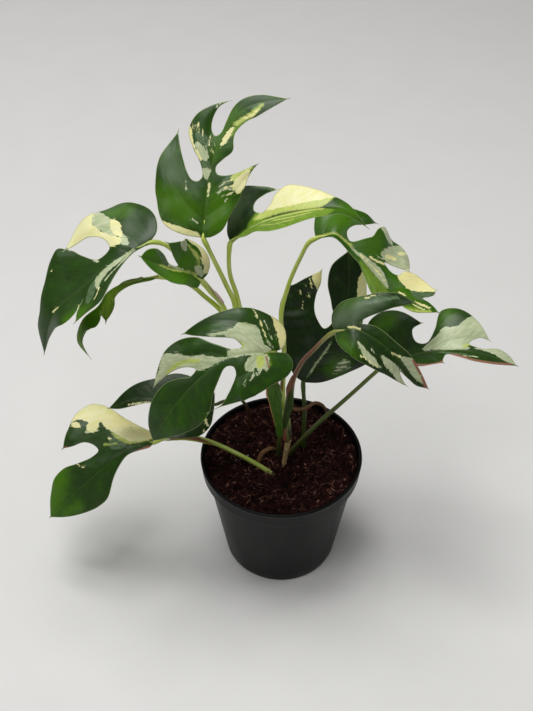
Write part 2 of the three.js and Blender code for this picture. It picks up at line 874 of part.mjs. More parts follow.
// A thin papery sheath curled round part of a petiole and open at its back.
function sheathGeometry({ path, start, finish, facing, radii, spreads }) {
  const line = evenPoints(smoothCurve(path.map(vector)), 0, path.length - 1, PATH_STEPS);
  const middle = [];
  const triangles = [];
  for (let i = 0; i <= SHEATH_ROWS; i += 1) {
    const u = i / SHEATH_ROWS;
    const k = Math.round(PATH_STEPS * THREE.MathUtils.lerp(start, finish, u));
    const ahead = line[k + 1].clone().sub(line[k - 1]).normalize();
    const out = vector(facing);
    out.addScaledVector(ahead, -out.dot(ahead)).normalize();
    const side = new THREE.Vector3().crossVectors(ahead, out);
    const radius = along(radii, u);
    for (let j = 0; j <= SHEATH_COLUMNS; j += 1) {
      const turn = THREE.MathUtils.degToRad(along(spreads, u) * ((2 * j) / SHEATH_COLUMNS - 1));
      const point = line[k].clone();
      point.addScaledVector(out, radius * Math.cos(turn));
      point.addScaledVector(side, radius * Math.sin(turn));
      middle.push(point);
    }
  }
  for (let i = 0; i < SHEATH_ROWS; i += 1) {
    for (let j = 0; j < SHEATH_COLUMNS; j += 1) {
      const a = i * (SHEATH_COLUMNS + 1) + j;
      const b = a + SHEATH_COLUMNS + 1;
      triangles.push([a, a + 1, b + 1], [a, b + 1, b]);
    }
  }
  return thicken(middle, triangles, middle.map(() => 0));
}

// ---------------------------------------------------------------- pot and coir

const potWallRadius = (z) => THREE.MathUtils.lerp(POT_BASE_RADIUS, WALL_TOP_RADIUS, z / RIM_BOTTOM);
const potInnerRadius = (z) => potWallRadius(Math.min(z, RIM_BOTTOM)) - POT_WALL;

function potGeometry() {
  const rimInner = POT_TOP_RADIUS - POT_WALL;
  const rimLedge = RIM_BOTTOM + RIM_STEP;
  const profile = [
    [0, 0],
    [POT_BASE_RADIUS - FOOT_INSET, 0],
    [POT_BASE_RADIUS, FOOT_HEIGHT],
    [WALL_TOP_RADIUS, RIM_BOTTOM],
    [POT_TOP_RADIUS - 1, RIM_BOTTOM + 0.4],
    [POT_TOP_RADIUS - 0.4, POT_HEIGHT - 2 * LIP],
    [POT_TOP_RADIUS, POT_HEIGHT - LIP],
    [POT_TOP_RADIUS - LIP / 2, POT_HEIGHT],
    [rimInner - LIP, POT_HEIGHT],
    [rimInner - 1.5 * LIP, POT_HEIGHT - LIP],
    [rimInner - LIP, rimLedge + 1],
    [potInnerRadius(RIM_BOTTOM), rimLedge - 1],
    [potInnerRadius(POT_FLOOR), POT_FLOOR],
    [0, POT_FLOOR],
  ];
  const lathe = new THREE.LatheGeometry(profile.map(([r, z]) => new THREE.Vector2(r, z)), POT_SIDES);
  lathe.rotateX(Math.PI / 2);
  const drains = [];
  for (let i = 0; i < DRAIN_HOLES; i += 1) {
    const turn = (2 * Math.PI * (i + 0.5)) / DRAIN_HOLES;
    const drain = new THREE.CylinderGeometry(DRAIN_RADIUS, DRAIN_RADIUS, 4 * POT_FLOOR, DRAIN_SIDES);
    drain.rotateX(Math.PI / 2);
    drain.translate(DRAIN_CIRCLE * Math.cos(turn), DRAIN_CIRCLE * Math.sin(turn), 0);
    drains.push(drain);
  }
  return cut(lathe, drains);
}

function coirHeight(x, y) {
  const broad = Math.sin(0.17 * x + 1.1) * Math.cos(0.14 * y - 0.6);
  const lumps = Math.sin(0.43 * x - 0.31 * y) + Math.sin(0.37 * y + 0.52 * x + 2);
  return COIR_TOP + COIR_RELIEF * (0.5 * broad + 0.35 * lumps);
}

function coirGeometry(stalks) {
  const snug = Math.cos(Math.PI / POT_SIDES);
  const bottom = POT_FLOOR + CLEARANCE;
  const topRadius = potInnerRadius(COIR_TOP) * snug - CLEARANCE - 0.3;
  const bottomRadius = potInnerRadius(bottom) * snug - CLEARANCE;
  const positions = [0, 0, coirHeight(0, 0)];
  for (let ring = 1; ring <= COIR_RINGS; ring += 1) {
    for (let i = 0; i < COIR_SIDES; i += 1) {
      const turn = (2 * Math.PI * i) / COIR_SIDES;
      const radius = (topRadius * ring) / COIR_RINGS;
      const [x, y] = [radius * Math.cos(turn), radius * Math.sin(turn)];
      positions.push(x, y, coirHeight(x, y));
    }
  }
  const foot = 1 + COIR_RINGS * COIR_SIDES;
  for (let i = 0; i < COIR_SIDES; i += 1) {
    const turn = (2 * Math.PI * i) / COIR_SIDES;
    positions.push(bottomRadius * Math.cos(turn), bottomRadius * Math.sin(turn), bottom);
  }
  const centre = foot + COIR_SIDES;
  positions.push(0, 0, bottom);
  const triangles = [];
  for (let i = 0; i < COIR_SIDES; i += 1) {
    const next = (i + 1) % COIR_SIDES;
    triangles.push(0, 1 + i, 1 + next, centre, foot + next, foot + i);
    for (let ring = 1; ring <= COIR_RINGS; ring += 1) {
      const a = 1 + (ring - 1) * COIR_SIDES;
      const b = a + COIR_SIDES;
      triangles.push(a + i, b + i, b + next, a + i, b + next, a + next);
    }
  }
  return cut(closedGeometry(positions, triangles), stalks);
}

// ---------------------------------------------------------------- assembly

addPiece("pot", potGeometry(), "pot");

const stalkTools = [];

for (const leaf of LEAVES) {
  addPiece(`blade_${leaf.name}`, bladeGeometry(leaf), "blade");
  addPiece(`petiole_${leaf.name}`, petioleRod(leaf, 0), "petiole");
  if (leaf.petiole[0][2] < COIR_TOP) stalkTools.push(petioleRod(leaf, HOLE_CLEARANCE));
}

for (const { name, path, radii, colour } of STALKS) {
  addPiece(name, stalkRod(path, radii, STEM_SIDES, STEM_STEP, 0), colour);
  if (path[0][2] < COIR_TOP) stalkTools.push(stalkRod(path, radii, STEM_SIDES, STEM_STEP, HOLE_CLEARANCE));
}

for (const sheath of SHEATHS) addPiece(sheath.name, sheathGeometry(sheath), "sheath");

addPiece("coir", coirGeometry(stalkTools), "coir");

export default group;
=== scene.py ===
"""Mini monstera in a nursery pot: the looks, built round the CAD frame.

Lengths are millimetres in the frame's axes, +Z up and +Y away from the camera, and become metres
where a mesh is made.  A leaf is drawn flat, x along its midrib and y out from it (the left half
has y below zero), and is then bent to the sheet that its CAD blade lies in.
"""
import math

import bpy
import numpy as np
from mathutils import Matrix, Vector
from mathutils.geometry import delaunay_2d_cdt


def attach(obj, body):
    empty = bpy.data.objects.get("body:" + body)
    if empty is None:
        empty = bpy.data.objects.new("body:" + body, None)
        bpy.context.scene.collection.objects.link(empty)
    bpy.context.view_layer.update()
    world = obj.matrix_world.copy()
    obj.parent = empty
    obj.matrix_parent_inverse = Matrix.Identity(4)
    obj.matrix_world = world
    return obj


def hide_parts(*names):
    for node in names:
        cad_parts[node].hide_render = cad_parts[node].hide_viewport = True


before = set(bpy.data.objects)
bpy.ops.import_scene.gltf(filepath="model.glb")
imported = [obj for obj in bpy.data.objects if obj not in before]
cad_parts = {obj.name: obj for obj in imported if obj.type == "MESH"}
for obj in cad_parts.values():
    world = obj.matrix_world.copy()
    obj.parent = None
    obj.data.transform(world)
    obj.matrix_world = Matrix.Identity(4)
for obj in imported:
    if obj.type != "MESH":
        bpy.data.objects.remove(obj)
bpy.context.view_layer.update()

METRE = 0.001
RANDOM = np.random.default_rng(20771)

# ---------------------------------------------------------------- camera

PHOTO_HEIGHT = 711
SENSOR = 36.0
FOCAL_PIXELS = 1200.0
CAMERA_PITCH = math.radians(43.2)
CAMERA_DISTANCE = 823.0
CAMERA_TARGET = (-11.0, 0.0, 199.7)

# ---------------------------------------------------------------- the pot and the coir, as in CAD

POT_TOP_RADIUS = 60.0
POT_BASE_RADIUS = 42.0
POT_HEIGHT = 100.0
POT_WALL = 1.6
POT_FLOOR = 2.4
RIM_HEIGHT = 13.0
RIM_STEP = 2.2
RIM_BOTTOM = POT_HEIGHT - RIM_HEIGHT
WALL_TOP_RADIUS = POT_TOP_RADIUS - 2 * RIM_STEP
FOOT_HEIGHT = 2.0
FOOT_INSET = 2.5
DRAIN_HOLES = 8
DRAIN_RADIUS = 4.0
DRAIN_CIRCLE = 29.0
POT_LIP = 1.3
POT_HOLLOW = 0.8
POT_SIDES = 144
POT_CREASE = 35

COIR_TOP = 93.0
COIR_RELIEF = 1.3
COIR_BANK = 3.2
COIR_CRUMBS = [(3.2, 0.7), (1.7, 0.45), (6.5, 0.8)]  # the length and height of each size
COIR_RADIUS = POT_TOP_RADIUS - 3.6
COIR_SPACING = 0.75
COIR_SIDES = 240
COIR_SHOULDER = 6.0
COIR_GAP = 0.5
FIBRE_LIMIT = POT_TOP_RADIUS - 4.0
FIBRE_STEPS = 6
FIBRE_SIDES = 3
FIBRE_CLEARANCE = 0.4
FIBRE_WIGGLE = 0.25
CHIP_LIMIT = POT_TOP_RADIUS - 4.5
CHIP_CLEARANCE = 0.5

# ---------------------------------------------------------------- the leaves' shapes and marks


def lobe(out, tip, back, notch):
    """One lobe of a leaf's half: the way out to its tip, and the way back to its notch."""
    return dict(out=out, tip=tip, back=back, notch=notch)


# midrib, face, petiole: points and directions as in CAD.  fold and droop: degrees at the base and
# at the tip.  end runs on from the last notch to the apex.  bulges: middle, width and height.
# tone: 0 for an old dark leaf, 1 for a bright young one.

LEAVES = {
    "top": dict(
        tone=0.62,
        bulges=[(2, -26, 11, 3.5), (40, -27, 9, 1.2), (22, -22, 10, 1.0)],
        midrib=[
            (-51, 0, 301), (-49, 12, 318), (-46, 25, 336), (-38, 38, 352), (-24, 48, 365), (2, 50, 371),
        ],
        face=[(-0.1, -0.8, 0.6), (-0.1, -0.75, 0.66), (0.05, -0.5, 0.86)],
        petiole=[(-33.5, 5, 218.6), (-32, 5, 241), (-38, 5, 260), (-44, 4, 278), (-49, 1, 295)],
        left=dict(
            fold=(8, 8), droop=(30, 20),
            lobes=[
                lobe([(1, 13), (6, 24), (16, 30), (30, 34), (42, 33)],
                     (57, 27), [(49, 21), (39, 14), (35, 10)], (35, 6)),
                lobe([(38, 4), (45, 7), (52, 14), (60, 21), (68, 21), (75, 17)],
                     (83, 10), [(78, 12), (71, 11), (65, 8)], (63, 4)),
            ],
            end=[(66, 2), (74, 3), (86, 6), (99, 5)],
        ),
        right=dict(
            fold=(8, 8), droop=(25, 20),
            lobes=[
                lobe([(1, 5), (6, 12), (18, 17), (32, 23), (46, 25)],
                     (58, 28), [(51, 23), (45, 17), (41, 10)], (41, 5)),
            ],
            end=[(45, 3), (51, 6), (59, 10), (70, 6), (82, 7), (93, 8)],
        ),
    ),
    "cream": dict(
        tone=0.3,
        midrib=[(-35, 10, 291), (-16, 8, 307), (4, 5, 317), (22, 3, 322), (37, 0, 323), (51, -8, 316)],
        face=[(0.1, -0.1, 1), (0, -0.1, 1), (0.3, -0.1, 1)],
        petiole=[(-26, 10, 208), (-29, 10, 234), (-31, 10, 246), (-35, 10, 264), (-35, 10, 284)],
        left=dict(
            fold=(25, 15), droop=(10, 15),
            lobes=[
                lobe([(0, 7), (5, 18), (11, 26), (19, 31), (29, 26)],
                     (39, 20), [(30, 19), (24, 16)], (23, 10)),
            ],
            end=[(28, 6), (34, 10), (38, 17), (45, 21), (54, 19), (64, 14), (76, 8), (88, 3)],
        ),
        right=dict(
            fold=(25, 22), droop=(0, 0),
            lobes=[],
            end=[(10, 8), (26, 20), (43, 28), (56, 22), (70, 15), (84, 8)],
        ),
    ),
    "upper_right": dict(
        tone=0.95,
        midrib=[(21, 30, 279), (34, 28, 283), (49, 22, 271), (68, 15, 250), (85, 10, 239), (104, 5, 235)],
        face=[(0, -0.1, 1), (0.5, -0.15, 0.8), (0.4, -0.2, 0.9)],
        petiole=[
            (0.5, 5, 152), (1, 10, 175), (1, 13, 200), (-1, 18, 220), (4, 24, 243), (12, 28, 264),
            (17, 30, 274),
        ],
        left=dict(
            fold=(15, 12), droop=(20, 30),
            lobes=[
                lobe([(-1, 8), (1, 20), (9, 25), (16, 26), (24, 31)],
                     (36, 36), [(27, 23), (21, 14)], (20, 6)),
                lobe([(25, 3), (32, 13), (37, 22), (38, 32), (43, 41), (54, 42), (65, 45), (73, 39)],
                     (76, 25), [(69, 22), (62, 19)], (55, 15)),
                lobe([(62, 13), (69, 15), (74, 23), (86, 25)], (99, 18), [(99, 13), (96, 10)], (92, 7.5)),
            ],
            end=[(97, 5.5), (101, 3)],
        ),
        right=dict(
            fold=(12, 10), droop=(30, 20),
            lobes=[
                lobe([(11, 4), (24, 5), (36, 5), (45, 10), (53, 16)], (60, 18), [(63, 11)], (69, 4)),
            ],
            end=[(79, 7), (88, 8), (97, 4)],
        ),
    ),
    "upper_left": dict(
        tone=0.48,
        midrib=[
            (-84, 0, 299), (-98, -6, 295), (-114, -12, 285), (-129, -18, 273), (-146, -24, 260),
            (-156, -30, 230),
        ],
        face=[(-0.3, -0.2, 1), (-0.5, -0.3, 0.8), (-0.7, -0.4, 0.4)],
        petiole=[(-37.7, 4.4, 220), (-41, 4, 244), (-47, 4, 254), (-65, 4, 281), (-77, 2, 295)],
        left=dict(
            fold=(22, 12), droop=(0, 0),
            lobes=[
                lobe([(8, 3), (16, 6), (24, 12), (34, 22), (46, 30)], (65, 25), [(61, 17)], (55, 11)),
            ],
            end=[(64, 18), (73, 19), (84, 11), (97, 4)],
        ),
        right=dict(
            fold=(15, 12), droop=(20, 10),
            lobes=[
                lobe([(-6, 4), (-10, 15), (-7, 28), (4, 38), (18, 41), (32, 44)],
                     (51, 34), [(42, 32), (33, 28), (26, 20)], (25, 10)),
            ],
            end=[(35, 9), (42, 19), (47, 30), (55, 38), (66, 33), (75, 21), (85, 13), (97, 11)],
        ),
    ),
    "young": dict(
        tone=1.1,
        midrib=[(-52, -12, 276), (-60, -16, 286), (-70, -20, 292), (-80, -22, 299), (-88, -23, 304)],
        face=[(0, -0.7, 0.7), (-0.1, -0.8, 0.6)],
        petiole=[(-34, 0.8, 222), (-40, 0, 245), (-48, -4, 261), (-50.5, -8, 269)],
        left=dict(
            fold=(35, 30), droop=(-20, -10),
            lobes=[],
            end=[(3, 6), (11, 9), (22, 10), (31, 7), (39, 5)],
        ),
        right=dict(
            fold=(20, 18), droop=(-14, 0),
            lobes=[
                lobe([(0, 6), (8, 14), (15, 19), (22, 21), (30, 20)], (37, 15), [(30, 9)], (22, 3)),
            ],
            end=[(29, 3), (35, 7), (41, 9), (46, 6)],
        ),
    ),
    "hanging": dict(
        tone=1.3,
        midrib=[
            (-82, 12, 260), (-101, 9, 259), (-115, 4, 254), (-122, 0, 245), (-133, -4, 236),
            (-138, -7, 219), (-131, -10, 207),
        ],
        face=[(0, -0.6, 0.8), (-0.2, -0.7, 0.7), (-0.7, -0.5, 0.4), (-0.9, -0.4, 0.1)],
        petiole=[(-35.5, 8.7, 219), (-42, 8, 234), (-52, 8, 246), (-61, 9, 255), (-73, 11, 259)],
        left=dict(
            fold=(-15, -15), droop=(20, 10),
            lobes=[
                lobe([(4, 2), (12, 3), (24, 4), (34, 6), (42, 9)], (50, 11), [(50, 7)], (49, 4)),
            ],
            end=[(52, 8), (57, 10), (64, 8), (70, 5), (82, 5)],
        ),
        right=dict(
            fold=(-95, -95), droop=(0, 0),
            lobes=[],
            end=[(7, 4), (20, 8), (32, 11), (46, 12), (60, 10), (76, 5)],
        ),
    ),
    "front": dict(
        tone=0.6,
        midrib=[
            (-5, -35, 236), (-22, -40, 239), (-38, -42, 236), (-54, -46, 223), (-73, -52, 200),
            (-87, -56, 174),
        ],
        face=[(0, -0.6, 0.8), (-0.2, -0.7, 0.7), (-0.45, -0.75, 0.5)],
        petiole=[
            (-2, 4, 82), (-2, 3, 93), (-2, -4, 114), (-1.5, -10, 134), (-4, -17, 162), (-6.5, -25, 195),
            (-6, -32, 226),
        ],
        left=dict(
            fold=(0, 0), droop=(25, 15),
            lobes=[
                lobe([(-8, 2), (-11, 9), (-7, 16), (3, 21), (16, 27), (32, 30), (46, 28), (57, 23.6)],
                     (68, 20), [(57, 22.2), (48, 20), (42, 18), (30, 12)], (30, 7)),
            ],
            end=[(36, 5), (46, 9), (57, 14), (68, 20), (80, 21), (94, 16), (107, 7)],
        ),
        right=dict(
            fold=(12, 8), droop=(40, 25),
            lobes=[
                lobe([(-5, 2), (-8, 8), (-7, 17), (0, 24), (11, 29), (23, 31), (36, 30)],
                     (47, 30), [(42, 23), (34, 15), (25, 10)], (22, 5)),
                lobe([(29, 5), (36, 12), (42, 22), (50, 28), (60, 29), (72, 25)],
                     (84, 19), [(76, 18), (67, 16), (59, 12)], (54, 6)),
            ],
            end=[(60, 5), (67, 10), (75, 14), (86, 15), (97, 13), (108, 8)],
        ),
    ),
    "rear_low": dict(
        tone=0.25,
        midrib=[(-48, 0, 152), (-73, 2, 154), (-101, 4, 154), (-125, 5, 143)],
        face=[(0, -0.6, 0.8), (0, -0.4, 0.9), (-0.3, -0.3, 0.9)],
        petiole=[(-24, 31, 82), (-24, 31, 93), (-25, 28, 118), (-32, 18, 140), (-42, 5, 150)],
        left=dict(
            fold=(10, 10), droop=(10, 10),
            lobes=[
                lobe([(0, 7), (1, 16), (7, 24), (18, 28)], (37, 30), [(34, 20)], (33, 9)),
            ],
            end=[(44, 4), (58, 5), (70, 4)],
        ),
        right=dict(
            fold=(5, 5), droop=(20, 15),
            lobes=[],
            end=[(2, 10), (15, 17), (30, 20), (44, 15), (56, 12), (68, 7)],
        ),
    ),
    "lower_left": dict(
        tone=0.55,
        midrib=[(-94, -5, 119), (-111, -12, 118), (-136, -20, 99), (-173, -28, 60)],
        face=[(-0.1, 0.2, 1), (-0.2, -0.6, 0.8), (-0.5, -0.7, 0.5)],
        petiole=[(2, -17, 86), (-8, -13, 93), (-30, -4, 102), (-56, 6, 108), (-74, 3, 116), (-87, -3, 119)],
        left=dict(
            fold=(12, 5), droop=(10, 15),
            lobes=[],
            end=[(4, 7), (13, 6), (21, 5), (30, 8), (40, 13), (51, 20), (64, 20), (80, 15), (94, 8)],
        ),
        right=dict(
            fold=(12, 5), droop=(20, 15),
            lobes=[
                lobe([(-2, 8), (5, 22), (14, 33), (23, 46), (31, 52), (41, 48), (53, 39)],
                     (62, 32), [(54, 28), (45, 25), (40, 19)], (39, 13)),
            ],
            end=[(45, 12), (57, 15), (71, 20), (83, 19), (95, 11)],
        ),
    ),
    "rear": dict(
        tone=0.1,
        midrib=[(16, 25, 149), (25, 29, 164), (35, 34, 180), (42, 41, 196), (47, 50, 216), (46, 60, 243)],
        face=[(0, -1, 0.3), (0, -1, 0.4), (0, -1, 0.5)],
        petiole=[(17, 12, 82), (17, 13, 95), (17, 15, 110), (17, 19, 130), (16, 23, 143)],
        left=dict(
            fold=(5, 5), droop=(20, 10),
            lobes=[
                lobe([(2, 9), (10, 20), (21, 32), (38, 42), (58, 45), (76, 42), (87, 34)],
                     (95, 19), [(84, 20), (72, 22), (60, 21), (51, 16)], (46, 9)),
            ],
            end=[(54, 5), (66, 10), (82, 15), (98, 12)],
        ),
        right=dict(
            fold=(5, 5), droop=(20, 10),
            lobes=[
                lobe([(6, 10), (17, 19), (28, 26)], (38, 34), [(44, 28)], (50, 18)),
            ],
            end=[(62, 15), (78, 13), (94, 10)],
        ),
    ),
    "mid_right": dict(
        tone=0.3,
        midrib=[
            (33, -25, 245), (46, -28, 249), (58, -32, 245), (72, -36, 233), (84, -38, 217), (96, -38, 205),
        ],
        face=[(0, -0.5, 0.85), (0.2, -0.7, 0.7), (0.3, -0.8, 0.5)],
        petiole=[
            (2.5, -9, 128), (3.5, -10, 151), (6, -10, 167), (7.5, -11, 187), (13, -14, 207), (21, -18, 223),
            (29, -23, 239),
        ],
        left=dict(
            fold=(10, 10), droop=(20, 30),
            lobes=[
                lobe([(-2, 5), (-1, 13), (5, 18), (13, 22), (19, 29), (26, 34)],
                     (36, 36), [(31, 28), (24, 18)], (16, 5)),
            ],
            end=[(24, 7), (40, 7), (56, 8), (70, 6)],
        ),
        right=dict(
            fold=(0, 0), droop=(20, 10),
            lobes=[
                lobe([(1, 7), (7, 15), (24, 18), (40, 16), (54, 12)], (69, 7), [(64, 6)], (58, 4)),
            ],
            end=[(66, 3), (74, 3)],
        ),
    ),
    "lower_right": dict(
        tone=0.48,
        midrib=[
            (76, 5, 193), (94, 0, 202), (110, -3, 208), (127, -6, 209), (144, -9, 206), (159, -10, 200),
        ],
        face=[(0, -0.2, 1), (0, -0.2, 1), (0.1, -0.2, 1)],
        petiole=[(2, 5, 82), (5, 4, 93), (12, 3, 107), (28, 4, 130), (50, 5, 158), (68, 6, 181)],
        left=dict(
            fold=(18, 14), droop=(10, 15),
            lobes=[
                lobe([(-7, 4), (-15, 16), (-19, 28), (-11, 36), (3, 36)], (22, 23), [(15, 19)], (18, 9)),
                lobe([(26, 7), (32, 16), (36, 30), (44, 32), (54, 27)], (67, 12), [(60, 12)], (54, 6)),
            ],
            end=[(62, 4), (74, 7), (83, 5)],
        ),
        right=dict(
            fold=(22, 18), droop=(0, 0),
            lobes=[
                lobe([(4, 5), (12, 11), (24, 16)], (38, 14), [(38, 10)], (40, 5)),
            ],
            end=[(48, 7), (58, 10), (70, 8), (80, 4)],
        ),
    ),
}
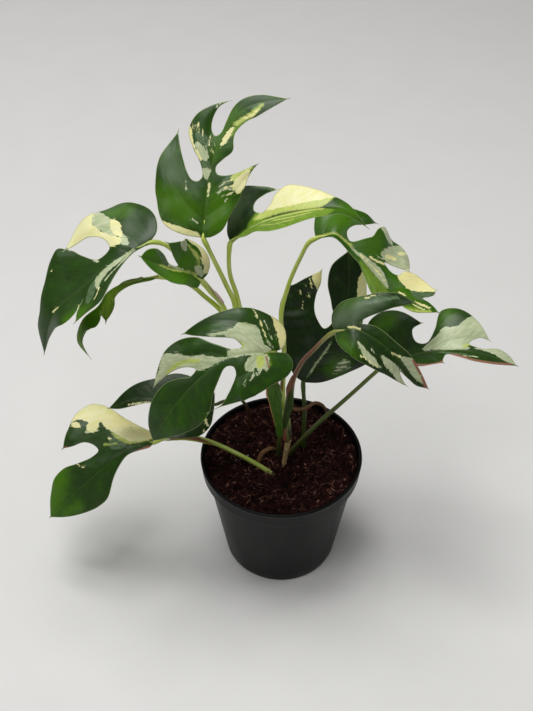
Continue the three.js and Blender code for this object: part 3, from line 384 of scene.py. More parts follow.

# The variegation, placed on the flat leaf.  A patch is a closed outline.  A streak is a
# line with its half width in front.  Where green is marked, the leaf's green shows again.

# painted_sheen patches are painted sheen: a pale grey-green tint where the light's gloss falls, not a colour
# of the leaf.
MARKS = {
    "top": dict(
        cream=[
            [(11, -31), (8, -24), (6, -15), (4, -8), (3, -3), (0, -2), (-2, -8), (-2, -16), (2, -25),
             (7, -33)],
            [(62, -23), (59, -18), (54, -14), (50, -9), (46, -6), (47, -9), (52, -14), (57, -19), (61, -24)],
            [(57, 2), (62, 1), (69, 1), (74, 3), (69, 4), (62, 4)],
            [(50, 24), (43, 25), (36, 24), (30, 20), (33, 16), (39, 17), (45, 20)],
            (0.4, [(63, -19), (60, -17)]), (0.4, [(64, -17), (61, -14)]), (0.4, [(63, -13), (60, -11)]),
            (0.5, [(61, -7), (57, -5)]), (0.4, [(57, -3), (53, -1)]), (0.6, [(34, 1), (26, 1)]),
            (0.6, [(83, 5), (90, 6), (95, 4)]), (0.5, [(32, 11), (35, 16)]), (0.5, [(28, 13), (31, 18)]),
            (0.4, [(36, 11), (39, 15)]),
        ],
        mist=[
            [(55, -14), (56, -11), (54, -7), (50, -3), (47, -4), (48, -8), (52, -12)],
            [(42, -5), (43, 0), (38, 0), (36, -1), (39, -4)], (0.5, [(55, -7), (52, -4)]),
            (0.5, [(29, 7), (32, 12), (32, 16)]), (0.5, [(33, 8), (37, 12)]), (0.4, [(27, 10), (29, 14)]),
            (0.4, [(24, 12), (26, 13)]), (0.4, [(33, -14), (29, -13)]), (0.5, [(11, -8), (9, -4)]),
            (0.4, [(77, -13), (81, -13)]),
        ],
        sage=[
            [(60, -16), (61, -12), (60, -7), (56, -5), (56, -10), (57, -14)],
            [(47, -7), (48, -3), (44, 0), (42, -2), (43, -5)],
            [(31, 7), (37, 9), (42, 13), (45, 16), (37, 15), (31, 12)],
        ],
        pale=[
            [(74, 2), (81, 3), (88, 4), (94, 3), (99, 1), (95, 5), (89, 7), (82, 6), (75, 4)],
            [(39, 14), (46, 17), (52, 22), (53, 26), (46, 22), (38, 18)],
        ],
        lime=[(1.6, [(68, 4), (78, 6), (88, 6), (97, 2)])],
        bright=[
            [(3, 2), (3, 12), (14, 18), (30, 14), (28, 2)],
            [(28, -34), (30, -26), (26, -14), (18, -3), (8, -9), (9, -20)],
            [(50, 1), (62, -4), (78, -6), (84, 0), (70, 1)],
        ],
        # painted sheen where the light glosses the left lobe
        painted_sheen=[[(46, -34), (52, -30), (48, -24), (39, -16), (26, -6), (27, -13), (33, -24), (38, -31)]],
    ),
    "cream": dict(
        cream=[
            [(31, -7), (35, -13), (38, -20), (45, -25), (56, -24), (67, -16), (76, -9), (68, -6), (57, -5),
             (42, -5)],
        ],
        pale=[
            [(22, -3), (32, -10), (39, -22), (60, -24), (74, -8), (68, -1), (46, -1)],
            (1.6, [(30, 3), (42, 4), (56, 4), (68, 3)]), (1.0, [(38, 9), (50, 11), (62, 8)]),
            (0.7, [(30, 12), (42, 17), (52, 17)]),
        ],
        mist=[(0.6, [(20, 4), (34, 5), (46, 4)])],
        lime=[
            [(16, 0), (22, -6), (32, -12), (34, -6), (28, 1)],
            [(0, 1), (20, 0), (48, 1), (66, 2), (76, 5), (66, 22), (43, 31), (20, 20), (6, 8)],
        ],
        sage=[(0.7, [(66, -2), (74, -5)]), (0.9, [(24, -29), (31, -24), (36, -20)])],
        bright=[[(92, 4), (82, 10), (72, 8), (80, -6), (92, -4)]],
        # painted sheen on the dark basal lobe
        painted_sheen=[
            [(2, -7), (4, -18), (12, -25), (18, -22), (12, -10)],
            [(3, -10), (6, -20), (13, -23), (14, -14), (8, -8)],
        ],
    ),
    "upper_right": dict(
        cream=[
            (1.4, [(54, -21), (62, -26)]), (1.4, [(64, -34), (70, -41)]),
            [(69, -14), (71, -21), (76, -27), (90, -26), (101, -18), (94, -14), (82, -10), (74, -11)],
            (0.9, [(43, -6), (49, -9), (55, -13)]), (0.6, [(37, -1), (46, -2), (54, -3), (61, -2)]),
            (0.5, [(75, -3), (80, -3)]), (0.7, [(88, -2), (98, -1)]), (0.5, [(86, 1), (95, 2)]),
        ],
        mist=[
            [(49, -18), (53, -30), (59, -40), (66, -48), (76, -44), (78, -33), (75, -24), (66, -20),
             (56, -17)],
            [(39, -36), (45, -42), (54, -41), (55, -36), (48, -32)],
            [(27, 0), (35, -2), (46, -5), (56, -7), (62, -4), (67, 0), (58, 1), (44, 1), (34, 1)],
            (0.5, [(47, -12), (53, -16)]),
        ],
        pale=[
            (0.8, [(70, -22), (76, -26), (76, -34)]), (0.9, [(84, 8), (92, 5), (99, 2)]),
            (0.8, [(1, 0), (14, 0), (28, -1)]),
        ],
        lime=[
            [(38, 3), (44, 9), (51, 18), (58, 20), (64, 12), (68, 3), (56, 1), (46, 1)],
            [(78, 9), (86, 4), (100, 1), (90, 12)],
        ],
        sage=[[(82, -9), (94, -13), (99, -15), (97, -8), (88, -5)]],
        bright=[
            [(0, -16), (10, -22), (18, -18), (18, -6), (13, -1), (5, -5)],
            [(27, -3), (34, -14), (44, -23), (47, -14), (38, -5)],
            [(60, -12), (70, -11), (82, -8), (90, -4), (78, -2), (68, -5)],
        ],
    ),
    "upper_left": dict(
        cream=[
            [(49.5, 34), (45, 42), (37, 48), (28, 47), (24, 42), (27, 36), (26, 29), (22, 21), (16, 11),
             (18, 8), (24, 11), (27, 17), (35, 27), (44, 31)],
            [(15, 28), (12, 24), (13, 17), (15, 12), (18, 17), (18, 24)], (0.5, [(24, 16), (24, 13)]),
            (0.6, [(42, -15), (47, -22)]), (0.3, [(59, -13), (64, -23)]), (0.4, [(74, 0), (79, 1)]),
            (0.3, [(66, 26), (67, 26)]),
        ],
        mist=[
            [(26, 45), (20, 41), (16, 31), (13, 25), (17, 20), (17, 12), (21, 17), (25, 27), (28, 36)],
            [(14, 15), (12, 8), (14, 4), (18, 9), (17, 13)],
            [(12, 0), (19, -4), (29, -6), (38, -10), (43, -15), (44, -9), (41, -2), (30, 0), (20, 0)],
            (0.7, [(12, -2), (20, -6), (27, -9), (36, -13)]), (0.8, [(37, 10), (36, 8)]),
        ],
        sage=[[(42, -1), (49, -7), (53, -13), (53, -20), (47, -17), (44, -12)]],
        bright=[
            [(72, -16), (60, -17), (51, -24), (60, -28), (70, -22)],
            [(20, 39), (8, 37), (1, 32), (4, 26), (14, 29)],
        ],
        green=[(0.9, [(40, -1), (48, -4)])],
    ),
    "young": dict(
        cream=[[(23, 24), (14, 22), (7, 17), (0, 9), (2, 5), (8, 7), (11, 11), (15, 17), (20, 20)]],
        pale=[(0.7, [(6, 1), (20, 0), (34, 0)]), (0.6, [(10, 6), (14, 12), (19, 17)])],
        mist=[
            [(31, 20), (26, 22), (20, 18), (20, 13), (24, 15)], [(12, 5), (10, 8), (4, 6), (2, 2), (7, 2)],
            (1.0, [(28, 2), (18, 1)]),
        ],
        sage=[(1.6, [(40, 8), (35, 5), (29, 2)])],
        green=[(0.6, [(9, 9), (7, 7)])],
        bright=[
            [(27, 12), (17, 14), (11, 7), (10, 1), (26, 1)], [(47, 1), (44, 8), (36, 7), (32, 2)],
            [(36, -2), (20, -2), (4, -1), (10, -9), (28, -10)],
        ],
    ),
    "hanging": dict(
        pale=[
            (0.8, [(12, 1), (28, 1), (44, 2)]), (0.6, [(60, 6), (74, 4), (86, 1)]),
            (0.6, [(30, -7), (42, -10)]),
        ],
        lime=[
            [(0, -6), (20, -5), (34, -7), (48, -11), (50, -4), (36, -1), (20, 1), (2, 2)],
            (2.2, [(56, 3), (66, 0), (78, -2), (90, 0)]), (1.4, [(24, 8), (38, 10), (50, 9)]),
        ],
        bright=[[(-6, -14), (96, -14), (96, 14), (-6, 14)]],
    ),
    "front": dict(
        cream=[
            [(0, 25), (-5, 19), (-10, 13), (-11, 7), (-7, 0), (-4, 1), (-2, 8), (-1, 16)],
            (0.4, [(11, 27), (10, 22)]), (0.4, [(9, 21), (8, 16)]), (0.4, [(8, 15), (6, 10)]),
            (0.4, [(12, 28), (9, 25)]),
        ],
        mist=[
            [(22, 21), (14, 19), (10, 15), (8, 6), (3, 1), (22, 0), (22, 7), (26, 12), (26, 16)],
            [(31, 4), (22, 4), (21, 0), (32, 0)],
            [(86, 20), (74, 23), (64, 28), (58, 23), (52, 16), (44, 9), (38, 3), (32, 0), (46, 1), (54, 5),
             (62, 11), (72, 14), (80, 17)],
            [(22, -10), (20, -4), (12, -1), (6, -2), (5, -7), (8, -13), (10, -10), (13, -14), (15, -9),
             (18, -12)],
            [(37, 19), (31, 17), (24, 17), (22, 12), (24, 8), (30, 14), (36, 17)], (0.3, [(9, 9), (2, 3)]),
            (0.4, [(6, 8), (3, 4)]), (0.3, [(6, 20), (4, 14)]), (0.3, [(4, 12), (2, 8)]),
            (0.4, [(18, -14), (16, -11)]), (0.4, [(20, -17), (17, -14)]), (0.4, [(25, -19), (22, -16)]),
            (0.4, [(15, -13), (14, -15)]),
        ],
        pale=[
            (1.2, [(70, 18), (59, 16), (49, 9)]), (0.6, [(22, 8), (21, 5)]),
            [(13, -2), (9, -2), (9, -8), (13, -10)],
        ],
        sage=[[(22, 7), (27, 11), (38, 17), (37, 20), (28, 19), (22, 17)], (0.8, [(30, 17), (37, 19)])],
        lime=[(1.0, [(6, -2), (5, -8)])],
        pink=[(0.6, [(7, -3), (6, -10)])],
    ),
    "rear_low": dict(
        cream=[
            (0.7, [(63, -3), (54, -4), (45, -4)]), (0.8, [(5, -12), (3, -16)]), (0.6, [(5, -20), (3, -23)]),
        ],
    ),
    "lower_left": dict(
        cream=[
            [(46, 45), (38, 52), (30, 56), (22, 49), (13, 37), (2, 25), (-4, 14), (-3, 4), (8, 3), (16, 7),
             (22, 16), (27, 25), (29, 34), (31, 29), (36, 27), (39, 34), (36, 37), (40, 42)],
            [(47, 44), (42, 42), (42, 37), (46, 40)], (0.6, [(28, 17), (27, 15)]),
            (0.5, [(59, 16), (57, 13)]), (0.4, [(56, 11), (55, 10)]),
        ],
        mist=[(0.9, [(40, 31), (33, 27)])],
        pale=[[(25, 19), (18, 5), (8, 2), (-3, 3), (4, 8), (14, 12)], (0.6, [(33, 14), (25, 9)])],
        sage=[[(27, 16), (21, 14), (18, 6), (22, 3), (30, 8)]],
        bright=[[(104, 8), (84, 24), (66, 22), (76, 8), (104, -2)], (3.0, [(92, -6), (78, -10)])],
        pink=[(1.6, [(64, 33), (59, 30)]), (1.2, [(15, -6), (9, -6), (2, -6)])],
    ),
    "rear": dict(
        cream=[
            [(93, -26), (97, -20), (95, -15), (84, -17), (73, -20), (82, -24)],
            [(95, 12), (88, 7), (80, 6), (74, 8), (73, 15), (80, 14), (88, 13)],
            (0.4, [(89, -28), (78, -26)]), (0.3, [(72, -28), (65, -26)]), (0.3, [(84, -31), (80, -30)]),
            (0.3, [(73, -34), (69, -33)]), (0.3, [(62, -30), (56, -29)]),
        ],
        mist=[
            (0.7, [(24, 14), (28, 19)]), (0.7, [(27, 13), (31, 18)]), (0.5, [(21, 14), (24, 18)]),
            (0.5, [(31, 15), (32, 20)]), (0.4, [(26, 20), (29, 22)]), (0.4, [(18, 14), (20, 17)]),
            (0.5, [(10, 0), (22, 0), (36, 0)]),
        ],
        sage=[(1.0, [(6, 0), (20, 0), (38, 0)]), [(22, 12), (31, 14), (32, 20), (27, 21), (21, 17)]],
        bright=[[(20, 8), (30, 10), (32, 18), (24, 22), (15, 16)]],
        pink=[(0.7, [(95, -18), (88, -18), (78, -20)])],
    ),
    "mid_right": dict(
        cream=[
            (0.4, [(15, -22), (18, -27)]), (0.6, [(10, -1), (17, -1)]),
            (0.5, [(26, 14), (33, 14), (41, 13)]), (0.5, [(43, 0), (49, -2)]),
        ],
        mist=[
            [(18, 7), (26, 9), (38, 11), (44, 12), (36, 15), (26, 13)],
            [(37, 6), (47, 4), (58, 3), (71, 6), (66, 9), (56, 9), (45, 9)],
            [(50, -2), (55, -7), (62, -9), (72, -8), (82, -2), (74, 0), (60, -1)],
            (0.4, [(30, 7), (35, 8)]),
        ],
        sage=[(1.2, [(14, -17), (20, -24), (27, -31)])],
        # painted sheen on the upper lobe
        painted_sheen=[[(-2, -6), (2, -16), (12, -22), (20, -28), (18, -14), (10, -5)]],
        bright=[
            [(1, 7), (5, 5), (12, 10), (24, 16), (12, 18)], [(3, -17), (10, -22), (15, -20), (10, -15)],
        ],
        pink=[(1.1, [(58, -7.5), (64, -6.5), (71, -5)]), (1.5, [(74, -4), (80, -1), (86, 0)])],
    ),
    "lower_right": dict(
        mist=[
            [(23, -2), (29, -8), (34, -12), (37, -16), (42, -17), (46, -18), (49, -22), (56, -28),
             (64, -24), (69, -11), (60, -10), (53, -4), (55, -2), (40, 0), (30, -1)],
            [(57, -3), (68, -6), (80, -9), (90, -1), (80, 0), (72, -2), (64, -3)],
            (0.4, [(51, 6), (61, 5)]),
        ],
        pale=[(1.0, [(51, -3), (56, -7)])],
        sage=[(0.8, [(35, 3), (43, 4), (53, 4)])],
        bright=[
            [(33, -19), (35, -28), (40, -32), (43, -26), (38, -20)],
            [(-14, -23), (-9, -31), (2, -34), (0, -24)],
        ],
        pink=[
            (1.1, [(13, 11), (24, 15), (31, 15.5), (38, 13)]),
            (1.0, [(43, 5), (48, 6), (58, 9), (70, 7), (80, 3), (85, 1)]),
        ],
    ),
}

MARK_KINDS = ("painted_sheen", "bright", "sage", "mist", "lime", "pale", "cream", "pink")
NO_MARK = -50.0

BLADE_GRID = 0.85
BLADE_EDGE_STEP = 0.8
BLADE_THICKNESS = 0.5
TIP_LENGTH = 2.0
TIP_STEPS = 5
EDGE_THICKNESS = 0.16
EDGE_ROUNDING = 1.6
EDGE_ROLL = 0.5
EDGE_ROLL_WIDTH = 3.4
DROOP_LENGTH = 45.0
MIDRIB_STEPS = 160
BEND_STEPS = 12
VEIN_SPACING = 7.0
VEIN_SLANT = 0.9
VEIN_SWEEP = 0.004
BASE_VEIN_RADIUS = 18.0
VEIN_WIDTH = 0.55
VEIN_DEPTH = 0.05
VEIN_FADE = 4.0
RIB_WIDTH = 0.9
RIB_DEPTH = 0.4
RIB_RIDGE = 1.1
QUILT_HEIGHT = 0.05
QUILT_FADE = 5.0
WAVE_HEIGHT = 0.7
WAVE_LENGTH = 22.0
WAVE_START = 22.0
LOBE_VALLEY = 0.75
LOBE_VALLEY_WIDTH = 4.2
LOBE_GROOVE = 0.16
LOBE_GROOVE_WIDTH = 0.7
VEIN_WANDER = 0.3
VEIN_WANDER_LENGTH = 45

# How far apart the leaves, and the halves of a leaf, are in the noise, so that no two are alike.

GRAIN_APART = 13.0
HALVES_APART = 7.0
MOTTLE_APART = 40.0

# ---------------------------------------------------------------- stalks and sheaths

TUBE_UP = (0.31, -0.9, 0.3)
TUBE_GRAIN = 3.0
PETIOLE_FOOT_RADIUS = 1.9
PETIOLE_KNEE_RADIUS = 1.3
PETIOLE_SIDES = 20
PETIOLE_STEP = 1.5
KNEE_RUN = [(0.0, 1.7), (5.0, 1.5), (11.0, 1.1)]  # how far along the midrib, and how far below it
KNEE_LENGTH = 11.0
KNEE_SWELLING = 0.28
KNEE_WIDTH = 5.0
CHANNEL_TURN = 4.7
CHANNEL_WIDTH = 0.5
CHANNEL_DEPTH = 0.12
CLASP = 0.35
CLASP_HEIGHT = 10.0
CLASP_REACH = 9.0
STALK_SIDES = 24
STALK_STEP = 0.9
RING_HEIGHT = 0.1
RING_WIDTH = 0.06
BARK_AGE_LENGTH = 14.0

# age: how old the bark looks, from the foot to the top.  blush: how far one side is reddened.
# root: the point inside the stem that a petiole grows from.  thick: its width against the others.

PETIOLES = {
    "top": dict(root=(-29, 5, 211)),
    "cream": dict(root=(-20.5, 5, 198.5)),
    "upper_left": dict(root=(-31, 5, 213.5), age=[0.0, 0.0, 0.25], thick=0.92),
    "young": dict(root=(-31, 4, 213)),
    "hanging": dict(root=(-31, 6, 213)),
    "upper_right": dict(root=(2.5, -0.5, 143), age=[0.1, 0.0], blush=[0.9, 0.3, 0.0]),
    "front": dict(age=[0.55, 0.3], thick=0.85),
    "rear_low": dict(age=[0.95, 0.6], thick=0.72),
    "lower_left": dict(age=[0.3, 0.2, 0.0], blush=[0.0, 0.1, 0.3, 0.75]),
    "rear": dict(age=[0.6, 0.45]),
    "mid_right": dict(root=(4.5, -5, 120), age=[0.4, 0.35, 0.25], blush=[1.0, 1.0, 0.85, 0.35]),
    "lower_right": dict(age=[0.6, 0.3], blush=[0.5, 0.4, 0.2]),
}

# look: its bark.  rings: how far apart its rings are.  rough: how uneven it is.
# dome: how far from its end a stalk begins to close in.

STALKS = {
    "cane": dict(
        look="cane", rough=0.05, rings=9,
        path=[(1.5, -5, 82), (2, -5, 93), (3, -5, 104), (5, -5, 121)],
        radii=[1.7, 1.7, 1.8, 2.2],
    ),
    "stem": dict(
        look="stem", rough=0.03, rings=17,
        path=[(4.8, -5, 119), (4, -3, 136), (-2, 1, 160), (-14, 4, 190), (-25, 5, 206), (-34, 5, 217.5)],
        radii=[2.3, 2.8, 2.9, 2.8],
        dome=6.0,
    ),
    "root_near": dict(
        look="root", rough=0.12, rings=6,
        path=[(-17, -3, 84), (-17, -3, 92), (-14, 1, 99), (-9, 5, 99), (-5, 10, 93), (-4, 12, 86)],
        radii=[1.6, 1.8, 1.8, 1.5],
    ),
    "root_far": dict(
        look="root", rough=0.12, rings=6,
        path=[
            (34, 37, 84), (34, 37, 93), (34, 34, 108), (31, 29, 121), (25, 24, 129),
            (17, 13, 134), (9, 5, 142), (3, 1, 148.5),
        ],
        radii=[1.2, 1.2, 1.3, 1.4],
    ),
}

# A sheath's start and finish: fractions of its leaf's petiole.  facing: the way its middle looks.
# spreads: how far round it reaches, in degrees.  dry: how brown it is at u up it and v across it.
# loose: not a piece of the CAD model.

SHEATHS = {
    "sheath_front": dict(
        leaf="front", look="sheath_green",
        start=0.34, finish=0.9, facing=(-0.1, -1, 0.2),
        radii=[2.6, 2.9, 3.6, 4.6, 5.6],
        spreads=[60, 90, 95, 95, 80],
        dry=lambda u, v: 0.9 * (v < -0.52 and u > 0.2) + 0.8 * u**14,
    ),
    "sheath_mid": dict(
        leaf="mid_right", look="sheath_papery",
        start=0.1, finish=0.56, facing=(-0.8, -0.6, 0),
        radii=[2.4, 2.6, 3.2, 4.0, 2.4],
        spreads=[60, 95, 95, 80, 40],
        dry=lambda u, v: 0.85 * min(1.0, max(0.0, 1.6 * u - 0.3) * (1.0 - 1.5 * max(v - 0.1, 0.0)) + u**6),
    ),
    "membrane_young": dict(
        leaf="young", look="membrane",
        start=0.5, finish=0.94, facing=(0.8, -0.2, 1),
        radii=[1.9, 2.3, 2.6, 2.2, 1.8],
        spreads=[30, 50, 45, 25, 5],
        dry=lambda u, v: 1.0,
        loose=True,
    ),
    "membrane_cream": dict(
        leaf="cream", look="membrane",
        start=0.1, finish=0.46, facing=(-1, -0.4, 0.1),
        radii=[2.1, 2.8, 2.8, 2.1, 1.8],
        spreads=[40, 50, 35, 20, 5],
        dry=lambda u, v: 1.0,
        loose=True,
    ),
    "wing_lower_left": dict(
        leaf="lower_left", look="petiole_wing",
        start=0.6, finish=0.99, facing=(0, -0.8, -0.3),
        radii=[1.8, 2.8, 3.2, 3.2, 1.8],
        spreads=[20, 60, 75, 70, 12],
        dry=lambda u, v: 0.9 * (v > 0.3) + 0.5 * u**6,
        loose=True,
    ),
}
SHEATH_ROWS = 90
SHEATH_COLUMNS = 36
SHEATH_LINE_STEPS = 400
SHEATH_THICKNESS = 0.35
SHEATH_ARCH = 0.22
SHEATH_WAVE = 0.1
SHEATH_GRAIN = (70, 8)

# Each kind of sheath, with its base, its light streaks and its dry margin.

SHEATH_COLOURS = {
    "sheath_green": [(42, 76, 8), (74, 114, 18), (184, 126, 64)],
    "sheath_papery": [(40, 60, 10), (66, 86, 24), (134, 90, 60)],
    "membrane": [(200, 190, 150), (222, 214, 180), (214, 192, 172)],
    "petiole_wing": [(140, 168, 40), (196, 212, 84), (142, 92, 74)],
}

# ---------------------------------------------------------------- lights, in metres and watts

LIT_POINT = (-0.01, 0, 0.2)
LIGHTS = {
    "key": dict(place=(-0.3, 0.15, 2.0), size=(0.9, 0.9), watts=25),
    "back": dict(place=(-0.7, 0.9, 0.9), size=(0.6, 0.5), watts=1.5, colour=(0.93, 0.9, 1)),
    "fill": dict(place=(-0.2, -0.65, 1.5), size=(0.6, 0.5), watts=3.6),
    "side": dict(place=(0.95, 0.05, 0.85), size=(0.5, 0.5), watts=1.6),
    "left": dict(place=(-0.95, -0.6, 1.0), size=(0.5, 0.5), watts=2.0),
}
ROOM_LIGHT = 0.09
FLOOR_SIZE = 12


# ---------------------------------------------------------------- curves and distances


def unit(vectors):
    """The vectors at length 1."""
    vectors = np.asarray(vectors, float)
    return vectors / np.maximum(np.linalg.norm(vectors, axis=-1, keepdims=True), 1e-9)


def between(t, low, high, first, second):
    """first where t is low, second where it is high, and in a straight line between them."""
    return (high - t) / (high - low) * first + (t - low) / (high - low) * second


def smooth(points, per_span=24, closed=False):
    """A centripetal Catmull-Rom curve through points, as many points."""
    points = np.asarray(points, float)
    if closed:
        points = np.vstack([points[-1:], points, points[:2]])
    else:
        points = np.vstack([2 * points[0] - points[1], points, 2 * points[-1] - points[-2]])
    curve = []
    for p0, p1, p2, p3 in zip(points, points[1:], points[2:], points[3:]):
        t1 = max(np.linalg.norm(p1 - p0), 1e-6) ** 0.5
        t2 = t1 + max(np.linalg.norm(p2 - p1), 1e-6) ** 0.5
        t3 = t2 + max(np.linalg.norm(p3 - p2), 1e-6) ** 0.5
        t = np.linspace(t1, t2, per_span, endpoint=False)[:, None]
        middle = between(t, t1, t2, p1, p2)
        before = between(t, 0, t2, between(t, 0, t1, p0, p1), middle)
        after = between(t, t1, t3, middle, between(t, t2, t3, p2, p3))
        curve.append(between(t, t1, t2, before, after))
    if not closed:
        curve.append(points[-2:-1])
    return np.vstack(curve)


def reach(line):
    """How far along a line each of its points is."""
    return np.concatenate([[0], np.cumsum(np.linalg.norm(np.diff(line, axis=0), axis=1))])


def even(line, step=None, count=None):
    """The same line with points evenly spaced, about step apart or count + 1 of them."""
    distance = reach(line)
    count = count or max(2, round(distance[-1] / step))
    wanted = np.linspace(0, distance[-1], count + 1)
    return np.stack([np.interp(wanted, distance, line[:, k]) for k in range(line.shape[1])], -1)


def along(values, u):
    """The value at fractions u of the way through a list of evenly spaced values."""
    return np.interp(np.clip(u, 0, 1), np.linspace(0, 1, len(values)), values)


def bell(distance, width):
    """1 at no distance, and falling to almost nothing at twice the width."""
    return np.exp(-((distance / width) ** 2))


def distance_to_line(points, line, closed=False):
    """How far each point is from a line, or from an outline."""
    starts = line if closed else line[:-1]
    ends = np.roll(line, -1, axis=0) if closed else line[1:]
    nearest = np.full(len(points), np.inf)
    for start, span in zip(starts, ends - starts):
        offset = points - start
        part = np.clip(offset @ span / max(span @ span, 1e-12), 0, 1)
        nearest = np.minimum(nearest, np.linalg.norm(offset - part[:, None] * span, axis=1))
    return nearest


def inside(points, outline):
    """Whether an outline winds round each flat point, also where the outline overlaps itself."""
    turns = np.zeros(len(points), int)
    for (x0, y0), (x1, y1) in zip(outline, np.roll(outline, -1, axis=0)):
        if y0 == y1:
            continue
        spans = (y0 > points[:, 1]) != (y1 > points[:, 1])
        before = points[:, 0] < x0 + (points[:, 1] - y0) * (x1 - x0) / (y1 - y0)
        turns += np.where(spans & before, 1 if y1 > y0 else -1, 0)
    return turns != 0


def depth_in_marks(points, shapes):
    """How deep each point lies inside the nearest of the marks, and below zero outside them."""
    depth = np.full(len(points), NO_MARK)
    for shape in shapes:
        if isinstance(shape, tuple):
            half_width, line = shape
            found = half_width - distance_to_line(points, smooth(line, 6))
        else:
            outline = smooth(shape, 6, closed=True)
            found = distance_to_line(points, outline, closed=True)
            found = np.where(inside(points, outline), found, -found)
        depth = np.maximum(depth, found)
    return depth


def waves(x, y, seed, length):
    """A gentle random relief from a few crossed waves, between about -1 and 1."""
    turn = np.random.default_rng(seed)
    total = np.zeros_like(x, float)
    for _ in range(5):
        angle, phase = turn.uniform(0, 2 * math.pi, 2)
        scale = 2 * math.pi / (length * turn.uniform(0.7, 1.5))
        total += np.sin(scale * (x * math.cos(angle) + y * math.sin(angle)) + phase)
    return total / 3


# ---------------------------------------------------------------- meshes


def vertex_normals(points, triangles):
    """The way out of the surface at each point."""
    corners = points[triangles]
    faces = np.cross(corners[:, 1] - corners[:, 0], corners[:, 2] - corners[:, 0])
    normals = np.zeros_like(points)
    for k in range(3):
        np.add.at(normals, triangles[:, k], faces)
    return unit(normals)


def free_edges(triangles):
    """The edges, in their triangle's direction, that only one triangle has."""
    edges = np.concatenate([triangles[:, [0, 1]], triangles[:, [1, 2]], triangles[:, [2, 0]]])
    keys = np.sort(edges, axis=1)
    _, first, counts = np.unique(keys, axis=0, return_index=True, return_counts=True)
    return edges[first[counts == 1]]


def thin_sheet(front, back, triangles):
    """The points and faces of a sheet with two sides, closed by walls along its free edges."""
    count = len(front)
    walls = [(a, a + count, b + count, b) for a, b in free_edges(triangles)]
    return np.vstack([front, back]), [*triangles, *(triangles[:, ::-1] + count), *walls]


def ring_faces(rows, sides, first=0):
    """The faces between rings of points, each ring's points following the last one's."""
    faces = []
    for row in range(rows - 1):
        for j in range(sides):
            a = first + row * sides + j
            b = first + row * sides + (j + 1) % sides
            faces.append((a, a + sides, b + sides, b))
    return faces


def closed_rings(rows, sides, foot, top, first=0):
    """Rings of points joined into one skin, closed at a point at the foot and one at the top."""
    faces = ring_faces(rows, sides, first)
    last = first + (rows - 1) * sides
    for j in range(sides):
        after = (j + 1) % sides
        faces.append((foot, first + j, first + after))
        faces.append((top, last + after, last + j))
    return faces


def grid_triangles(rows, columns):
    """Two triangles for each cell of a grid that is rows by columns cells."""
    a = (np.arange(rows)[:, None] * (columns + 1) + np.arange(columns)).ravel()
    b = a + columns + 1
    return np.vstack([np.stack([a, a + 1, b + 1], -1), np.stack([a, b + 1, b], -1)])


def add_piece(name, points, faces, materials, slots, replaced=(), face_material=None, facets=None, **fields):
    """A mesh object on the plant's body.  fields are vertex attributes, numbers or vectors."""
    mesh = bpy.data.meshes.new(name)
    mesh.from_pydata((np.asarray(points) * METRE).tolist(), [], [list(map(int, face)) for face in faces])
    for material in materials:
        mesh.materials.append(material)
    if face_material is not None:
        mesh.polygons.foreach_set("material_index", np.asarray(face_material, np.int32))
    smooth_faces = np.ones(len(mesh.polygons), bool) if facets is None else ~np.asarray(facets, bool)
    mesh.polygons.foreach_set("use_smooth", smooth_faces)
    for field, values in fields.items():
        values = np.asarray(values, np.float32)
        kind = "FLOAT_VECTOR" if values.ndim == 2 else "FLOAT"
        attribute = mesh.attributes.new(field, kind, "POINT")
        attribute.data.foreach_set("vector" if values.ndim == 2 else "value", values.ravel())
    mesh.update()
    piece = bpy.data.objects.new(name, mesh)
    bpy.context.scene.collection.objects.link(piece)
    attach(piece, "root")
    if replaced:
        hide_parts(*replaced)
    return piece


# ---------------------------------------------------------------- materials


def srgb(red, green, blue):
    """A colour given as it looks on a screen, 0 to 255, as the linear one that shaders take."""
    values = [v / 255 for v in (red, green, blue)]
    linear = [v / 12.92 if v <= 0.04045 else ((v + 0.055) / 1.055) ** 2.4 for v in values]
    return (*linear, 1.0)


